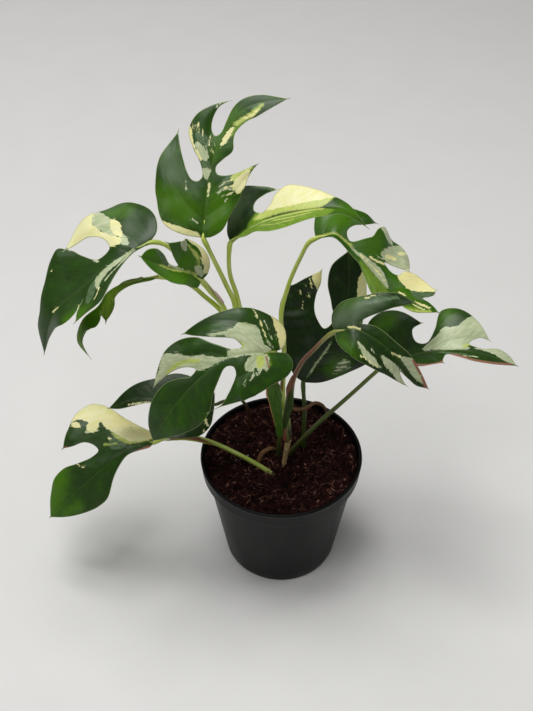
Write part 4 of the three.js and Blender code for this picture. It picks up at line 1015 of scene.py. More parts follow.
class Shader:
    """A node material, put together by methods that each add a node and return its output.

    A value that a method takes is a number or the output of another node."""

    def __init__(self, name, roughness=0.5, specular=0.5):
        self.material = bpy.data.materials.new(name)
        self.material.use_nodes = True
        self.tree = self.material.node_tree
        self.surface = self.tree.nodes["Principled BSDF"]
        self.surface.inputs["Roughness"].default_value = roughness
        self.surface.inputs["Specular IOR Level"].default_value = specular

    def node(self, kind, *values, **settings):
        node = self.tree.nodes.new(kind)
        for key, value in settings.items():
            setattr(node, key, value)
        for socket, value in zip(node.inputs, values):
            self.put(socket, value)
        return node

    def put(self, socket, value):
        if isinstance(value, bpy.types.NodeSocket):
            self.tree.links.new(value, socket)
        elif value is not None:
            socket.default_value = value

    def fill(self, node, **values):
        for name, value in values.items():
            self.put(node.inputs[name], value)

    def field(self, name, vector=False):
        node = self.node("ShaderNodeAttribute", attribute_name=name)
        return node.outputs["Vector" if vector else "Fac"]

    def place(self):
        """The point on the object, in millimetres."""
        node = self.node("ShaderNodeVectorMath", operation="SCALE")
        self.put(node.inputs[0], self.node("ShaderNodeTexCoord").outputs["Object"])
        self.put(node.inputs["Scale"], 1 / METRE)
        return node.outputs[0]

    def stretch(self, vector, x, y, z):
        return self.node("ShaderNodeVectorMath", vector, (x, y, z), operation="MULTIPLY").outputs[0]

    def math(self, operation, a, b=None, c=None, clamp=False):
        return self.node("ShaderNodeMath", a, b, c, operation=operation, use_clamp=clamp).outputs[0]

    def scaled(self, value, factor, plus=0.0):
        """value times factor, plus another value."""
        return self.math("MULTIPLY_ADD", value, factor, plus)

    def noise(self, vector, scale=1.0, detail=2.0, roughness=0.5):
        node = self.node("ShaderNodeTexNoise")
        self.fill(node, Vector=vector, Scale=scale, Detail=detail, Roughness=roughness)
        return node.outputs[0]

    def cells(self, vector):
        node = self.node("ShaderNodeTexVoronoi")
        self.fill(node, Vector=vector, Scale=1.0)
        return node.outputs["Distance"]

    def step(self, value, low, high, to_low=0.0, to_high=1.0):
        """to_low up to low, to_high from high on, and smooth between them."""
        node = self.node("ShaderNodeMapRange", value, low, high, to_low, to_high)
        node.interpolation_type = "SMOOTHSTEP"
        return node.outputs[0]

    def mix(self, part, *colours):
        """Two colours mixed.  Each is another node's output, or a colour as srgb takes it."""
        node = self.node("ShaderNodeMix", data_type="RGBA")
        self.put(node.inputs[0], part)
        for socket, colour in zip(node.inputs[6:8], colours):
            self.put(socket, srgb(*colour) if isinstance(colour, tuple) else colour)
        return node.outputs[2]

    def blend(self, value, low, high, first, second):
        """The first colour where the value is at low, and the second where it is at high."""
        return self.mix(self.step(value, low, high), first, second)

    def finish(self, colour, roughness=None, height=None, depth=0.1):
        """Sets the colour, and the roughness and a bump in millimetres where they are given."""
        self.put(self.surface.inputs["Base Color"], colour)
        if roughness is not None:
            self.put(self.surface.inputs["Roughness"], roughness)
        if height is not None:
            bump = self.node("ShaderNodeBump")
            self.fill(bump, Height=height, Distance=depth * METRE)
            self.put(self.surface.inputs["Normal"], bump.outputs[0])
        return self.material


def leaf_colour(shader, paleness):
    """The variegated colour of a leaf, with patches of painted sheen.  paleness is 0 on its upper face and
    near 1 underneath.
    """
    grain = shader.field("grain", vector=True)
    place = shader.field("flat", vector=True)
    border = shader.noise(shader.stretch(grain, 0.4, 0.22, 1), detail=4, roughness=0.65)
    fine = shader.noise(shader.stretch(grain, 1.3, 0.55, 1.7), detail=2)
    streak = shader.noise(shader.stretch(grain, 1.1, 0.16, 2.3), detail=4, roughness=0.65)
    cloud = shader.noise(shader.stretch(grain, 0.07, 0.07, 3.1), detail=2)
    fleck = shader.step(streak, 0.6, 0.7, 0, 5)

    def mask(kind, ragged, soft, flecks=0.0):
        """1 inside the marks of a kind, with a border that is so ragged and so soft, in millimetres."""
        jag = shader.scaled(border, 2 * ragged, -ragged)
        jag = shader.scaled(fine, ragged, jag)
        jag = shader.math("ADD", jag, -0.5 * ragged)
        depth = shader.math("ADD", shader.field(kind), jag)
        if flecks:
            depth = shader.scaled(fleck, flecks, depth)
        return shader.step(depth, -soft, soft)

    mottle = shader.noise(shader.stretch(place, 0.2, 0.2, 0.2), detail=3, roughness=0.6)
    tone = shader.scaled(cloud, 0.6, -0.3)
    tone = shader.scaled(mottle, 0.7, tone)
    tone = shader.math("ADD", tone, shader.field("tone"))
    tone = shader.scaled(streak, 0.2, tone)
    tone = shader.math("SUBTRACT", tone, 0.45, clamp=True)
    green = shader.blend(tone, 0.0, 0.5, (24, 42, 16), (38, 64, 18))
    green = shader.blend(tone, 0.45, 1.0, green, (48, 90, 6))
    vein = shader.field("vein")
    green = shader.mix(shader.math("MULTIPLY", vein, 0.05), green, (74, 116, 44))

    sage = shader.blend(fine, 0.35, 0.65, (66, 92, 56), (98, 120, 84))
    mist = shader.blend(streak, 0.4, 0.62, (176, 188, 146), (166, 180, 136))
    mist = shader.blend(border, 0.42, 0.6, mist, (192, 199, 162))
    cream = shader.blend(cloud, 0.35, 0.65, (240, 230, 162), (232, 230, 178))
    cream = shader.blend(border, 0.45, 0.66, cream, (228, 224, 152))
    cream = shader.blend(streak, 0.6, 0.72, cream, (214, 216, 138))
    pale = shader.blend(streak, 0.4, 0.62, (196, 204, 112), (168, 186, 88))
    lime = shader.blend(streak, 0.38, 0.62, (126, 158, 48), (92, 130, 34))

    # painted sheen: a pale grey-green tint standing in for the light's gloss on the leaf
    painted_sheen = shader.math("MULTIPLY", mask("painted_sheen", 3.0, 6.0), 0.35)
    colour = shader.mix(painted_sheen, green, (134, 156, 118))
    bright = shader.math("MULTIPLY", mask("bright", 5.0, 7.0), 0.75)
    colour = shader.mix(bright, colour, (74, 120, 10))
    colour = shader.mix(mask("sage", 1.2, 0.6), colour, sage)
    colour = shader.mix(mask("lime", 1.2, 1.3), colour, lime)
    colour = shader.mix(mask("mist", 1.6, 0.2, 0.3), colour, mist)
    colour = shader.mix(mask("pale", 1.4, 0.8), colour, pale)
    colour = shader.mix(mask("cream", 1.8, 0.18, 0.4), colour, cream)
    rib = shader.step(shader.field("rib"), 0.45, 0.95)
    colour = shader.mix(shader.math("MULTIPLY", rib, 0.15), colour, (120, 146, 66))
    edge = shader.step(shader.field("rim"), 0.55, 0.1)
    colour = shader.mix(shader.math("MULTIPLY", edge, 0.55), colour, (156, 172, 108))
    colour = shader.mix(mask("pink", 0.8, 0.5), colour, (148, 102, 82))
    spot = shader.cells(shader.stretch(place, 0.11, 0.11, 0.11))
    colour = shader.blend(spot, 0.05, 0.03, colour, (120, 74, 52))
    if paleness:
        colour = shader.mix(paleness, colour, (110, 142, 66))
        colour = shader.mix(shader.math("MULTIPLY", vein, 0.25), colour, (140, 164, 92))
        colour = shader.mix(shader.math("MULTIPLY", rib, 0.6), colour, (156, 176, 100))
    return colour, fine, streak


def leaf_material(name, paleness, roughness, specular):
    """One face of a leaf, with a faint grain."""
    shader = Shader(name, roughness=roughness, specular=specular)
    colour, fine, streak = leaf_colour(shader, paleness)
    rough = shader.scaled(streak, 0.16, roughness - 0.08)
    return shader.finish(colour, rough, fine, 0.035)


def stalk_material(name, base, light, dull, brown, roughness=0.42):
    """Streaked green bark: dull and then brown where age nears 1, and blushed along one side."""
    shader = Shader(name, roughness=roughness)
    round_place = shader.field("grain", vector=True)
    age = shader.field("age")
    streak = shader.noise(shader.stretch(round_place, 0.05, 0.9, 1), detail=3, roughness=0.6)
    cloud = shader.noise(shader.stretch(round_place, 0.06, 0.25, 1.7), detail=2)
    fine = shader.noise(shader.place(), 1.4, detail=3)
    colour = shader.blend(streak, 0.35, 0.65, base, light)
    colour = shader.blend(age, 0.0, 0.5, colour, dull)
    tint = shader.scaled(cloud, 0.6, age)
    colour = shader.blend(tint, 0.85, 1.15, colour, brown)
    blush = shader.math("ADD", shader.field("blush"), shader.scaled(cloud, 0.5, -0.25))
    colour = shader.blend(blush, 0.35, 0.75, colour, (122, 74, 52))
    return shader.finish(colour, None, fine, 0.12)


def bark_material(name, dark, light, roughness, depth):
    """Woody bark: light rings on a dark ground, and dark specks."""
    shader = Shader(name, roughness=roughness, specular=0.25)
    round_place = shader.field("grain", vector=True)
    rings = shader.noise(shader.stretch(round_place, 0.7, 0.15, 1), detail=4, roughness=0.7)
    fine = shader.noise(shader.place(), 2.2, detail=4, roughness=0.7)
    colour = shader.blend(rings, 0.35, 0.65, dark, light)
    colour = shader.blend(fine, 0.55, 0.75, colour, dark)
    return shader.finish(colour, None, fine, depth)


def sheath_material(name, base, light, margin):
    """A papery skin streaked along its length, with the margin's colour where age nears 1."""
    shader = Shader(name, roughness=0.55, specular=0.2)
    grain = shader.field("grain", vector=True)
    streak = shader.noise(shader.stretch(grain, 0.08, 1.3, 1), detail=4, roughness=0.6)
    blotch = shader.noise(shader.stretch(grain, 0.12, 0.25, 2), detail=3)
    colour = shader.blend(streak, 0.35, 0.68, base, light)
    dry = shader.math("ADD", shader.field("age"), shader.scaled(blotch, 0.9, -0.45))
    colour = shader.blend(dry, 0.5, 0.7, colour, margin)
    return shader.finish(colour, None, streak, 0.15)


def coir_material():
    """Brown crumbs, their near-black mottle painted shade of hollows, and pale where age nears 1."""
    shader = Shader("coir", roughness=0.9, specular=0.08)
    place = shader.place()
    broad = shader.noise(place, 0.22, detail=3)
    fine = shader.noise(place, 1.6, detail=5, roughness=0.7)
    # the near-black end of this fine mottle is painted shade of hollows between crumbs
    colour = shader.blend(fine, 0.42, 0.66, (7, 3, 3), (84, 46, 42))
    colour = shader.blend(broad, 0.45, 0.7, colour, (12, 6, 6))
    colour = shader.blend(shader.field("age"), 0.8, 1.0, colour, (146, 102, 86))
    return shader.finish(colour, None, fine, 0.7)


def pot_material():
    """Black plastic with faint smears and specks of dust."""
    shader = Shader("pot_plastic", roughness=0.4, specular=0.16)
    place = shader.place()
    grain = shader.noise(place, 2.6, detail=3)
    smear = shader.noise(shader.stretch(place, 0.05, 0.05, 0.012), detail=4, roughness=0.6)
    dust = shader.noise(place, 0.9, detail=6, roughness=0.75)
    colour = shader.blend(smear, 0.4, 0.7, (5, 5, 6), (11, 11, 12))
    colour = shader.blend(dust, 0.68, 0.76, colour, (44, 39, 37))
    rough = shader.scaled(smear, 0.35, 0.24)
    return shader.finish(colour, rough, grain, 0.05)


def perlite_material():
    """Off-white grains."""
    shader = Shader("perlite", roughness=0.8)
    fine = shader.noise(shader.place(), 1.2, detail=3)
    colour = shader.blend(fine, 0.3, 0.7, (214, 210, 202), (250, 248, 244))
    return shader.finish(colour, None, fine, 0.2)


# ---------------------------------------------------------------- leaves


class LeafSheet:
    """The bent sheet that a blade lies in."""

    def __init__(self, leaf):
        self.leaf = leaf
        self.line = even(smooth(leaf["midrib"]), count=MIDRIB_STEPS)
        self.distance = reach(self.line)
        self.length = self.distance[-1]
        self.ahead = unit(np.gradient(self.line, self.distance, axis=0))
        faces = unit(leaf["face"])
        at = np.linspace(0, self.length, len(faces))
        face = np.stack([np.interp(self.distance, at, faces[:, k]) for k in range(3)], -1)
        self.face = unit(face - self.ahead * np.sum(face * self.ahead, 1)[:, None])

    def frame_at(self, x):
        """Where the midrib is, and the ways ahead, across and out of the face there."""
        x = np.asarray(x, float)
        held = np.clip(x, 0, self.length)

        def pick(values):
            return np.stack([np.interp(held, self.distance, values[:, k]) for k in range(3)], -1)

        ahead = unit(pick(self.ahead))
        face = pick(self.face)
        face = unit(face - ahead * np.sum(face * ahead, -1)[..., None])
        point = pick(self.line) + ahead * (x - held)[..., None]
        return point, ahead, np.cross(ahead, face), face

    def place(self, flat):
        """Flat points, y below zero on the left half, as points in space."""
        x, y = flat[:, 0], flat[:, 1]
        point, _, across, face = self.frame_at(x)
        u = np.clip(x / self.length, 0, 1)
        fold = np.where(y < 0, along(self.leaf["left"]["fold"], u), along(self.leaf["right"]["fold"], u))
        droop = np.where(y < 0, along(self.leaf["left"]["droop"], u), along(self.leaf["right"]["droop"], u))
        fold, bend = np.radians(fold), np.radians(droop) / DROOP_LENGTH
        out = np.zeros_like(x)
        rise = np.zeros_like(x)
        for k in range(BEND_STEPS):
            angle = fold - bend * np.abs(y) * (k + 0.5) / BEND_STEPS
            out += y / BEND_STEPS * np.cos(angle)
            rise += np.abs(y) / BEND_STEPS * np.sin(angle)
        return point + across * out[:, None] + face * rise[:, None]


def leaf_outline(leaf, length):
    """The flat edge of the whole blade, out along the right half and back along the left."""
    halves = []
    for side, sign in (("right", 1), ("left", -1)):
        runs = []
        start = [(0, 0)]
        for lobe in leaf[side]["lobes"]:
            runs.append(start + lobe["out"] + [lobe["tip"]])
            start = [lobe["tip"], *lobe["back"], lobe["notch"]]
        runs.append(start + leaf[side]["end"] + [(length, 0)])
        runs = [even(smooth(run), BLADE_EDGE_STEP) for run in runs]
        for before, after in zip(runs, runs[1:]):
            way = unit(2 * after[0] - before[-1 - TIP_STEPS] - after[TIP_STEPS])
            before[-1] = after[0] = after[0] + TIP_LENGTH * way
        edge = np.vstack([run[:-1] for run in runs])
        halves.append(np.vstack([edge, [(length + TIP_LENGTH, 0)]]) * (1, sign))
    right, left = halves
    return np.vstack([right, left[::-1][1:-1]])


def flat_net(outline, length):
    """Triangles that fill a leaf's outline, with a line of edges along the midrib.

    They turn so that, on the bent leaf, they face out of its upper side."""
    low, high = outline.min(0), outline.max(0)
    xs = np.arange(low[0], high[0], BLADE_GRID)
    ys = np.arange(low[1], high[1], BLADE_GRID * math.sqrt(0.75))
    grid = np.array([(x + (j % 2) * BLADE_GRID / 2, y) for j, y in enumerate(ys) for x in xs])
    grid = grid[inside(grid, outline) & (np.abs(grid[:, 1]) > 0.45 * BLADE_GRID)]
    grid = grid[distance_to_line(grid, outline, closed=True) > 0.5 * BLADE_GRID]
    rib = np.stack([np.arange(BLADE_GRID, length - BLADE_GRID / 2, BLADE_GRID)] * 2, -1) * (1, 0)
    points = np.vstack([outline, rib, grid])
    edges = [(len(outline) + k, len(outline) + k + 1) for k in range(len(rib) - 1)]
    found = delaunay_2d_cdt([Vector(p) for p in points], edges, [list(range(len(outline)))], 1, 1e-5)
    flat = np.array([tuple(p) for p in found[0]])
    triangles = np.array([tuple(face)[::-1] for face in found[2]])
    return flat, triangles[inside(flat[triangles].mean(1), outline)]


def vein_place(flat):
    """A coordinate that is the same all along a side vein, and grows by VEIN_SPACING to the next."""
    x, y = flat[:, 0], np.abs(flat[:, 1])
    slanted = x - VEIN_SLANT * y - VEIN_SWEEP * y**2
    steepest = math.atan2(1, VEIN_SLANT)
    angle = np.arctan2(y, x)
    fanned = -(angle - steepest) * BASE_VEIN_RADIUS
    return np.where(slanted > 0, slanted, np.minimum(fanned, 0))


def lobe_vein_distance(leaf, flat):
    """How far each flat point is from the main vein of the nearest lobe."""
    nearest = np.full(len(flat), np.inf)
    for side, sign in (("right", 1), ("left", -1)):
        root = 0
        for lobe in leaf[side]["lobes"]:
            tip, notch = np.array(lobe["tip"]), np.array(lobe["notch"])
            foot = np.array([root + 0.3 * (notch[0] - root), 0])
            belly = np.array([0.5 * (foot[0] + notch[0]), 0.55 * max(tip[1], notch[1] + 6)])
            line = smooth([foot, belly, 0.5 * (belly + tip) + (0, 0.06 * tip[1]), tip], 10) * (1, sign)
            nearest = np.minimum(nearest, distance_to_line(flat, line))
            root = notch[0]
    return nearest


def side_veins(number, flat):
    """A coordinate that steps from one side vein to the next, and the distance to the nearest."""
    vein_at = vein_place(flat)
    wander = VEIN_WANDER * waves(flat[:, 0], np.abs(flat[:, 1]), number + 60, VEIN_WANDER_LENGTH)
    offset = np.where(flat[:, 1] < 0, 0.5, 0) + wander
    from_middle = np.abs((vein_at / VEIN_SPACING + offset) % 1 - 0.5) * 2
    return vein_at, (1 - from_middle) * VEIN_SPACING / 2


def leaf_relief(leaf, number, flat, rim, from_vein):
    """How far each point stands out of the plain sheet."""
    x, y = flat[:, 0], flat[:, 1]
    out = np.abs(y)
    relief = WAVE_HEIGHT * waves(x, y, number, WAVE_LENGTH) * np.clip(out / WAVE_START, 0, 1.4) ** 1.3
    from_lobe_vein = lobe_vein_distance(leaf, flat)
    relief -= LOBE_VALLEY * bell(from_lobe_vein, LOBE_VALLEY_WIDTH)
    relief -= LOBE_GROOVE * bell(from_lobe_vein, LOBE_GROOVE_WIDTH)
    for middle_x, middle_y, width, height in leaf.get("bulges", []):
        relief += height * bell(np.hypot(x - middle_x, y - middle_y), width)
    arch = np.sin(math.pi * from_vein / VEIN_SPACING)
    relief += QUILT_HEIGHT * arch * np.clip(rim / QUILT_FADE, 0, 1) * np.clip(out / VEIN_FADE, 0, 1)
    return relief - EDGE_ROLL * bell(rim, EDGE_ROLL_WIDTH)


def leaf_marks(name, flat):
    """How deep each point lies in each kind of mark, without the parts where green shows again."""
    marks = MARKS[name]
    put_back = depth_in_marks(flat, marks.get("green", []))
    return {kind: np.minimum(depth_in_marks(flat, marks.get(kind, [])), -put_back) for kind in MARK_KINDS}


def build_leaf(name, leaf, number, materials):
    """One blade, whose upper face and edge have the first material and its lower face the second."""
    sheet = LeafSheet(leaf)
    outline = leaf_outline(leaf, sheet.length)
    flat, triangles = flat_net(outline, sheet.length)
    out = np.abs(flat[:, 1])
    rim = distance_to_line(flat, outline, closed=True)
    vein_at, from_vein = side_veins(number, flat)
    fade = np.clip(1 - flat[:, 0] / sheet.length, 0, 1)
    vein = bell(from_vein, VEIN_WIDTH) * np.clip(rim / VEIN_FADE, 0, 1)
    rib = bell(out, RIB_WIDTH * (0.4 + 0.6 * fade))

    plain = sheet.place(flat)
    relief = leaf_relief(leaf, number, flat, rim, from_vein)
    middle = plain + vertex_normals(plain, triangles) * relief[:, None]
    normals = vertex_normals(middle, triangles)
    swell = 1 - np.exp(-rim / EDGE_ROUNDING)
    half = (EDGE_THICKNESS + (BLADE_THICKNESS - EDGE_THICKNESS) * swell) / 2
    groove = VEIN_DEPTH * vein + RIB_DEPTH * rib * (0.3 + 0.7 * fade)
    ridge = 0.7 * VEIN_DEPTH * vein + RIB_RIDGE * rib * (0.2 + 0.8 * fade)
    upper = middle + normals * (half - groove)[:, None]
    lower = middle - normals * (half + ridge + 0.3 * groove)[:, None]
    points, faces = thin_sheet(upper, lower, triangles)
    count = len(triangles)
    walls = len(faces) - 2 * count

    grain_at = GRAIN_APART * number + np.where(flat[:, 1] < 0, 0, HALVES_APART)
    mottle_at = np.full(len(flat), MOTTLE_APART * number)
    fields = dict(
        leaf_marks(name, flat),
        grain=np.stack([vein_at, out, grain_at], -1),
        flat=np.stack([flat[:, 0], flat[:, 1], mottle_at], -1),
        vein=vein, rib=rib, rim=rim,
        tone=np.full(len(flat), leaf["tone"]),
    )
    add_piece(
        f"leaf_{name}", points, faces, materials, "blade", [f"blade_{name}"],
        face_material=np.repeat([0, 1, 0], [count, count, walls]),
        facets=np.repeat([False, True], [2 * count, walls]),
        **{key: np.concatenate([values, values]) for key, values in fields.items()},
    )
    return sheet


# ---------------------------------------------------------------- stalks


def tube(path, radius_at, sides, step):
    """A closed round tube.  radius_at(u, turn, distance) gives its radius all round.

    Returns its points, its faces, and each point's grain: its distance along and its place round."""
    centres = even(smooth(path), step)
    distance = reach(centres)
    ahead = unit(np.gradient(centres, axis=0))
    up = np.array(TUBE_UP)
    turn = np.linspace(0, 2 * math.pi, sides, endpoint=False)
    round_place = TUBE_GRAIN * np.stack([np.cos(turn), np.sin(turn)], -1)
    points, grain = [], []
    for centre, way, s in zip(centres, ahead, distance):
        up = unit(up - way * (up @ way))
        side = np.cross(way, up)
        radius = radius_at(s / distance[-1], turn, s) * np.ones(sides)
        ring = side * np.cos(turn)[:, None] + up * np.sin(turn)[:, None]
        points.append(centre + ring * radius[:, None])
        grain.append(np.column_stack([np.full(sides, s), round_place]))
    points = np.vstack([*points, centres[:1], centres[-1:]])
    grain = np.vstack([*grain, [(0, 0, 0)], [(distance[-1], 0, 0)]])
    foot = len(centres) * sides
    return points, closed_rings(len(centres), sides, foot, foot + 1), grain


def build_petiole(name, leaf, sheet, material):
    """The petiole: channelled on top, and swollen where it bends into the blade."""
    petiole = PETIOLES[name]
    thick = petiole.get("thick", 1.0)
    run, depth = np.array(KNEE_RUN).T
    rib, _, _, face = sheet.frame_at(run)
    below = rib - face * depth[:, None]
    root = [petiole["root"]] if "root" in petiole else []
    clasp = CLASP if root else 0.0
    path = [*root, *leaf["petiole"], *below]
    length = reach(smooth(path))[-1]
    knee = length - KNEE_LENGTH

    def radius_at(u, turn, s):
        plain = along([PETIOLE_FOOT_RADIUS, PETIOLE_KNEE_RADIUS], u)
        swelling = 1 + KNEE_SWELLING * bell(s - knee + 3, KNEE_WIDTH)
        fade = 1 - 0.75 * np.clip((s - knee) / KNEE_LENGTH, 0, 1)
        channel = 1 - CHANNEL_DEPTH * bell(turn - CHANNEL_TURN, CHANNEL_WIDTH)
        foot = 1 + clasp * bell(s - CLASP_HEIGHT, CLASP_REACH)
        foot *= 1 - 1.2 * clasp * bell(s, 3)
        return thick * plain * swelling * fade * channel * foot * (1 + 0.02 * np.sin(5 * turn + 0.13 * s))

    points, faces, grain = tube(path, radius_at, PETIOLE_SIDES, PETIOLE_STEP)
    u = grain[:, 0] / length
    blush = along(petiole.get("blush", [0, 0]), u) * np.clip(0.5 - grain[:, 1] / TUBE_GRAIN, 0, 1)
    add_piece(
        f"leafstalk_{name}", points, faces, [material], "petiole", [f"petiole_{name}"],
        grain=grain, age=along(petiole.get("age", [0, 0]), u), blush=blush,
    )


def build_stalk(name, stalk, material):
    """A cane, stem or root, with rings round it and a rough surface."""
    phases = np.random.default_rng(len(name) + 40).uniform(0, 2 * math.pi, 6)
    length = reach(smooth(stalk["path"]))[-1]

    def radius_at(u, turn, s):
        rough = sum(np.sin((k + 2) * turn + phases[k] + s * (0.35 + 0.21 * k)) for k in range(5)) / 5
        ring = bell((s / stalk["rings"]) % 1 - 0.5, RING_WIDTH)
        left = length * (1 - u)
        tip = math.sqrt(min(1.0, 0.02 + left / stalk["dome"])) if "dome" in stalk else 1.0
        return tip * along(stalk["radii"], u) * (1 + stalk["rough"] * rough + RING_HEIGHT * ring)

    points, faces, grain = tube(stalk["path"], radius_at, STALK_SIDES, STALK_STEP)
    add_piece(
        name + "_skin", points, faces, [material], stalk["look"], [name],
        grain=grain, age=np.exp(-grain[:, 0] / BARK_AGE_LENGTH), blush=np.zeros(len(points)),
    )


def build_sheath(name, sheath, material):
    """A papery sheath round part of a petiole, with wavy free edges."""
    line = even(smooth(LEAVES[sheath["leaf"]]["petiole"]), count=SHEATH_LINE_STEPS)
    ways = unit(np.gradient(line, axis=0))
    facing = np.asarray(sheath["facing"], float)
    middle, grain, age = [], [], []
    for u in np.linspace(0, 1, SHEATH_ROWS + 1):
        for v in np.linspace(-1, 1, SHEATH_COLUMNS + 1):
            height = u * (1 - SHEATH_ARCH * v * v)
            part = sheath["start"] + (sheath["finish"] - sheath["start"]) * height
            k = round(SHEATH_LINE_STEPS * part)
            out = unit(facing - ways[k] * (facing @ ways[k]))
            side = np.cross(ways[k], out)
            turn = math.radians(float(along(sheath["spreads"], u))) * v
            wave = 1 + SHEATH_WAVE * math.sin(21 * u + 3 * v) * v**2 * u
            radius = float(along(sheath["radii"], u)) * wave
            middle.append(line[k] + radius * (out * math.cos(turn) + side * math.sin(turn)))
            grain.append((SHEATH_GRAIN[0] * u, SHEATH_GRAIN[1] * v, len(name)))
            age.append(sheath["dry"](u, v))
    middle = np.array(middle)
    triangles = grid_triangles(SHEATH_ROWS, SHEATH_COLUMNS)
    half = vertex_normals(middle, triangles) * SHEATH_THICKNESS / 2
    points, faces = thin_sheet(middle + half, middle - half, triangles)
    add_piece(
        name + "_skin", points, faces, [material], "sheath", [] if sheath.get("loose") else [name],
        grain=np.vstack([grain, grain]), age=np.concatenate([age, age]),
    )


# ---------------------------------------------------------------- pot


def wall_radius(z):
    """The radius of the pot's wall outside, below the rim band."""
    return POT_BASE_RADIUS + (WALL_TOP_RADIUS - POT_BASE_RADIUS) * z / RIM_BOTTOM


def inner_radius(z):
    """The radius of the pot inside."""
    return wall_radius(min(z, RIM_BOTTOM)) - POT_WALL


def build_pot(material):
    """The thin pot: a tapered wall, a stepped rim band with a rolled lip, and holes in its floor."""
    lip_radius = POT_TOP_RADIUS - POT_LIP
    band_inner = lip_radius - POT_WALL
    floor_middle = DRAIN_CIRCLE - 2 * DRAIN_RADIUS
    lip = [
        (lip_radius + POT_LIP * math.cos(t), POT_HEIGHT - POT_LIP + POT_LIP * math.sin(t))
        for t in np.linspace(-0.6, math.pi, 9)
    ]
    wall = [(wall_radius(z), z) for z in np.linspace(FOOT_HEIGHT + 1, RIM_BOTTOM - 0.6, 14)]
    profile = [
        (floor_middle, POT_HOLLOW), (POT_BASE_RADIUS - 2 * FOOT_INSET, POT_HOLLOW),
        (POT_BASE_RADIUS - 1.6 * FOOT_INSET, 0.1), (POT_BASE_RADIUS - 0.8 * FOOT_INSET, 0),
        (POT_BASE_RADIUS - 0.5, 0.6), (POT_BASE_RADIUS, FOOT_HEIGHT), *wall,
        (WALL_TOP_RADIUS + 0.3, RIM_BOTTOM - 0.1), (POT_TOP_RADIUS - 1.9, RIM_BOTTOM + 0.1),
        (POT_TOP_RADIUS - 1.2, RIM_BOTTOM + 0.8), (POT_TOP_RADIUS - 0.9, RIM_BOTTOM + 3),
        (POT_TOP_RADIUS - 0.6, POT_HEIGHT - 4), *lip,
        (band_inner - 0.2, POT_HEIGHT - 3), (band_inner - 0.4, RIM_BOTTOM + 3.4),
        (inner_radius(RIM_BOTTOM), RIM_BOTTOM + 1), (inner_radius(40), 40),
        (inner_radius(POT_FLOOR) - 0.6, POT_FLOOR + 0.6), (inner_radius(POT_FLOOR) - 2, POT_FLOOR),
        (floor_middle, POT_FLOOR),
    ]
    turns = np.linspace(0, 2 * math.pi, POT_SIDES, endpoint=False)
    points = [(radius * math.cos(t), radius * math.sin(t), z) for radius, z in profile for t in turns]
    foot = len(points)
    points += [(0, 0, POT_HOLLOW), (0, 0, POT_FLOOR)]
    inward = closed_rings(len(profile), POT_SIDES, foot, foot + 1)
    outward = [(face[0], *face[:0:-1]) for face in inward]  # the profile runs up the outside
    pot = add_piece("pot_shell", points, outward, [material], "pot", ["pot"])
    cut_drains(pot)
    pot.data.set_sharp_from_angle(angle=math.radians(POT_CREASE))


def cut_drains(pot):
    """Cuts the ring of drain holes through the floor."""
    bpy.ops.object.select_all(action="DESELECT")
    for k in range(DRAIN_HOLES):
        turn = 2 * math.pi * (k + 0.5) / DRAIN_HOLES
        place = (DRAIN_CIRCLE * math.cos(turn) * METRE, DRAIN_CIRCLE * math.sin(turn) * METRE, 0)
        bpy.ops.mesh.primitive_cylinder_add(
            vertices=32, radius=DRAIN_RADIUS * METRE, depth=0.02, location=place,
        )
        cutter = bpy.context.object
        cut = pot.modifiers.new("drain", "BOOLEAN")
        cut.operation = "DIFFERENCE"
        cut.solver = "EXACT"
        cut.object = cutter
        bpy.context.view_layer.objects.active = pot
        bpy.ops.object.modifier_apply(modifier="drain")
        bpy.data.objects.remove(cutter)


# ---------------------------------------------------------------- coir


def coir_level(x, y):
    """The height of the coir without its crumbs, banked up a little towards the rim."""
    broad = np.sin(0.17 * x + 1.1) * np.cos(0.14 * y - 0.6)
    lumps = np.sin(0.43 * x - 0.31 * y) + np.sin(0.37 * y + 0.52 * x + 2)
    bank = COIR_BANK * (np.hypot(x, y) / POT_TOP_RADIUS) ** 6
    return COIR_TOP + COIR_RELIEF * (0.5 * broad + 0.35 * lumps) + bank


def coir_skin(x, y):
    """The height of the coir with its crumbs."""
    crumbs = [height * waves(x, y, seed, length) for seed, (length, height) in enumerate(COIR_CRUMBS, 5)]
    return coir_level(x, y) + sum(crumbs)


def build_coir_bed(material):
    """The coir as one body, from its crumbled top down to the pot's floor."""
    rings = round(COIR_RADIUS / COIR_SPACING)
    turns = np.linspace(0, 2 * math.pi, COIR_SIDES, endpoint=False)
    points = [(0, 0, coir_skin(np.zeros(1), np.zeros(1))[0])]
    for radius in np.linspace(0, COIR_RADIUS, rings + 1)[1:]:
        x, y = radius * np.cos(turns), radius * np.sin(turns)
        points += list(zip(x, y, coir_skin(x, y)))
    for z in (COIR_TOP - COIR_SHOULDER, POT_HEIGHT / 2, POT_FLOOR + COIR_GAP):
        radius = inner_radius(z) - COIR_GAP
        points += [(radius * math.cos(t), radius * math.sin(t), z) for t in turns]
    points.append((0, 0, POT_FLOOR + COIR_GAP))
    faces = closed_rings(rings + 3, COIR_SIDES, 0, len(points) - 1, first=1)
    add_piece("coir_bed", points, faces, [material], "coir", ["coir"], age=np.zeros(len(points)))


def spread_in_pot(count, radius):
    """Random places on the coir, within the radius."""
    turn = RANDOM.uniform(0, 2 * math.pi, count)
    far = radius * np.sqrt(RANDOM.uniform(0, 1, count))
    return far * np.cos(turn), far * np.sin(turn)


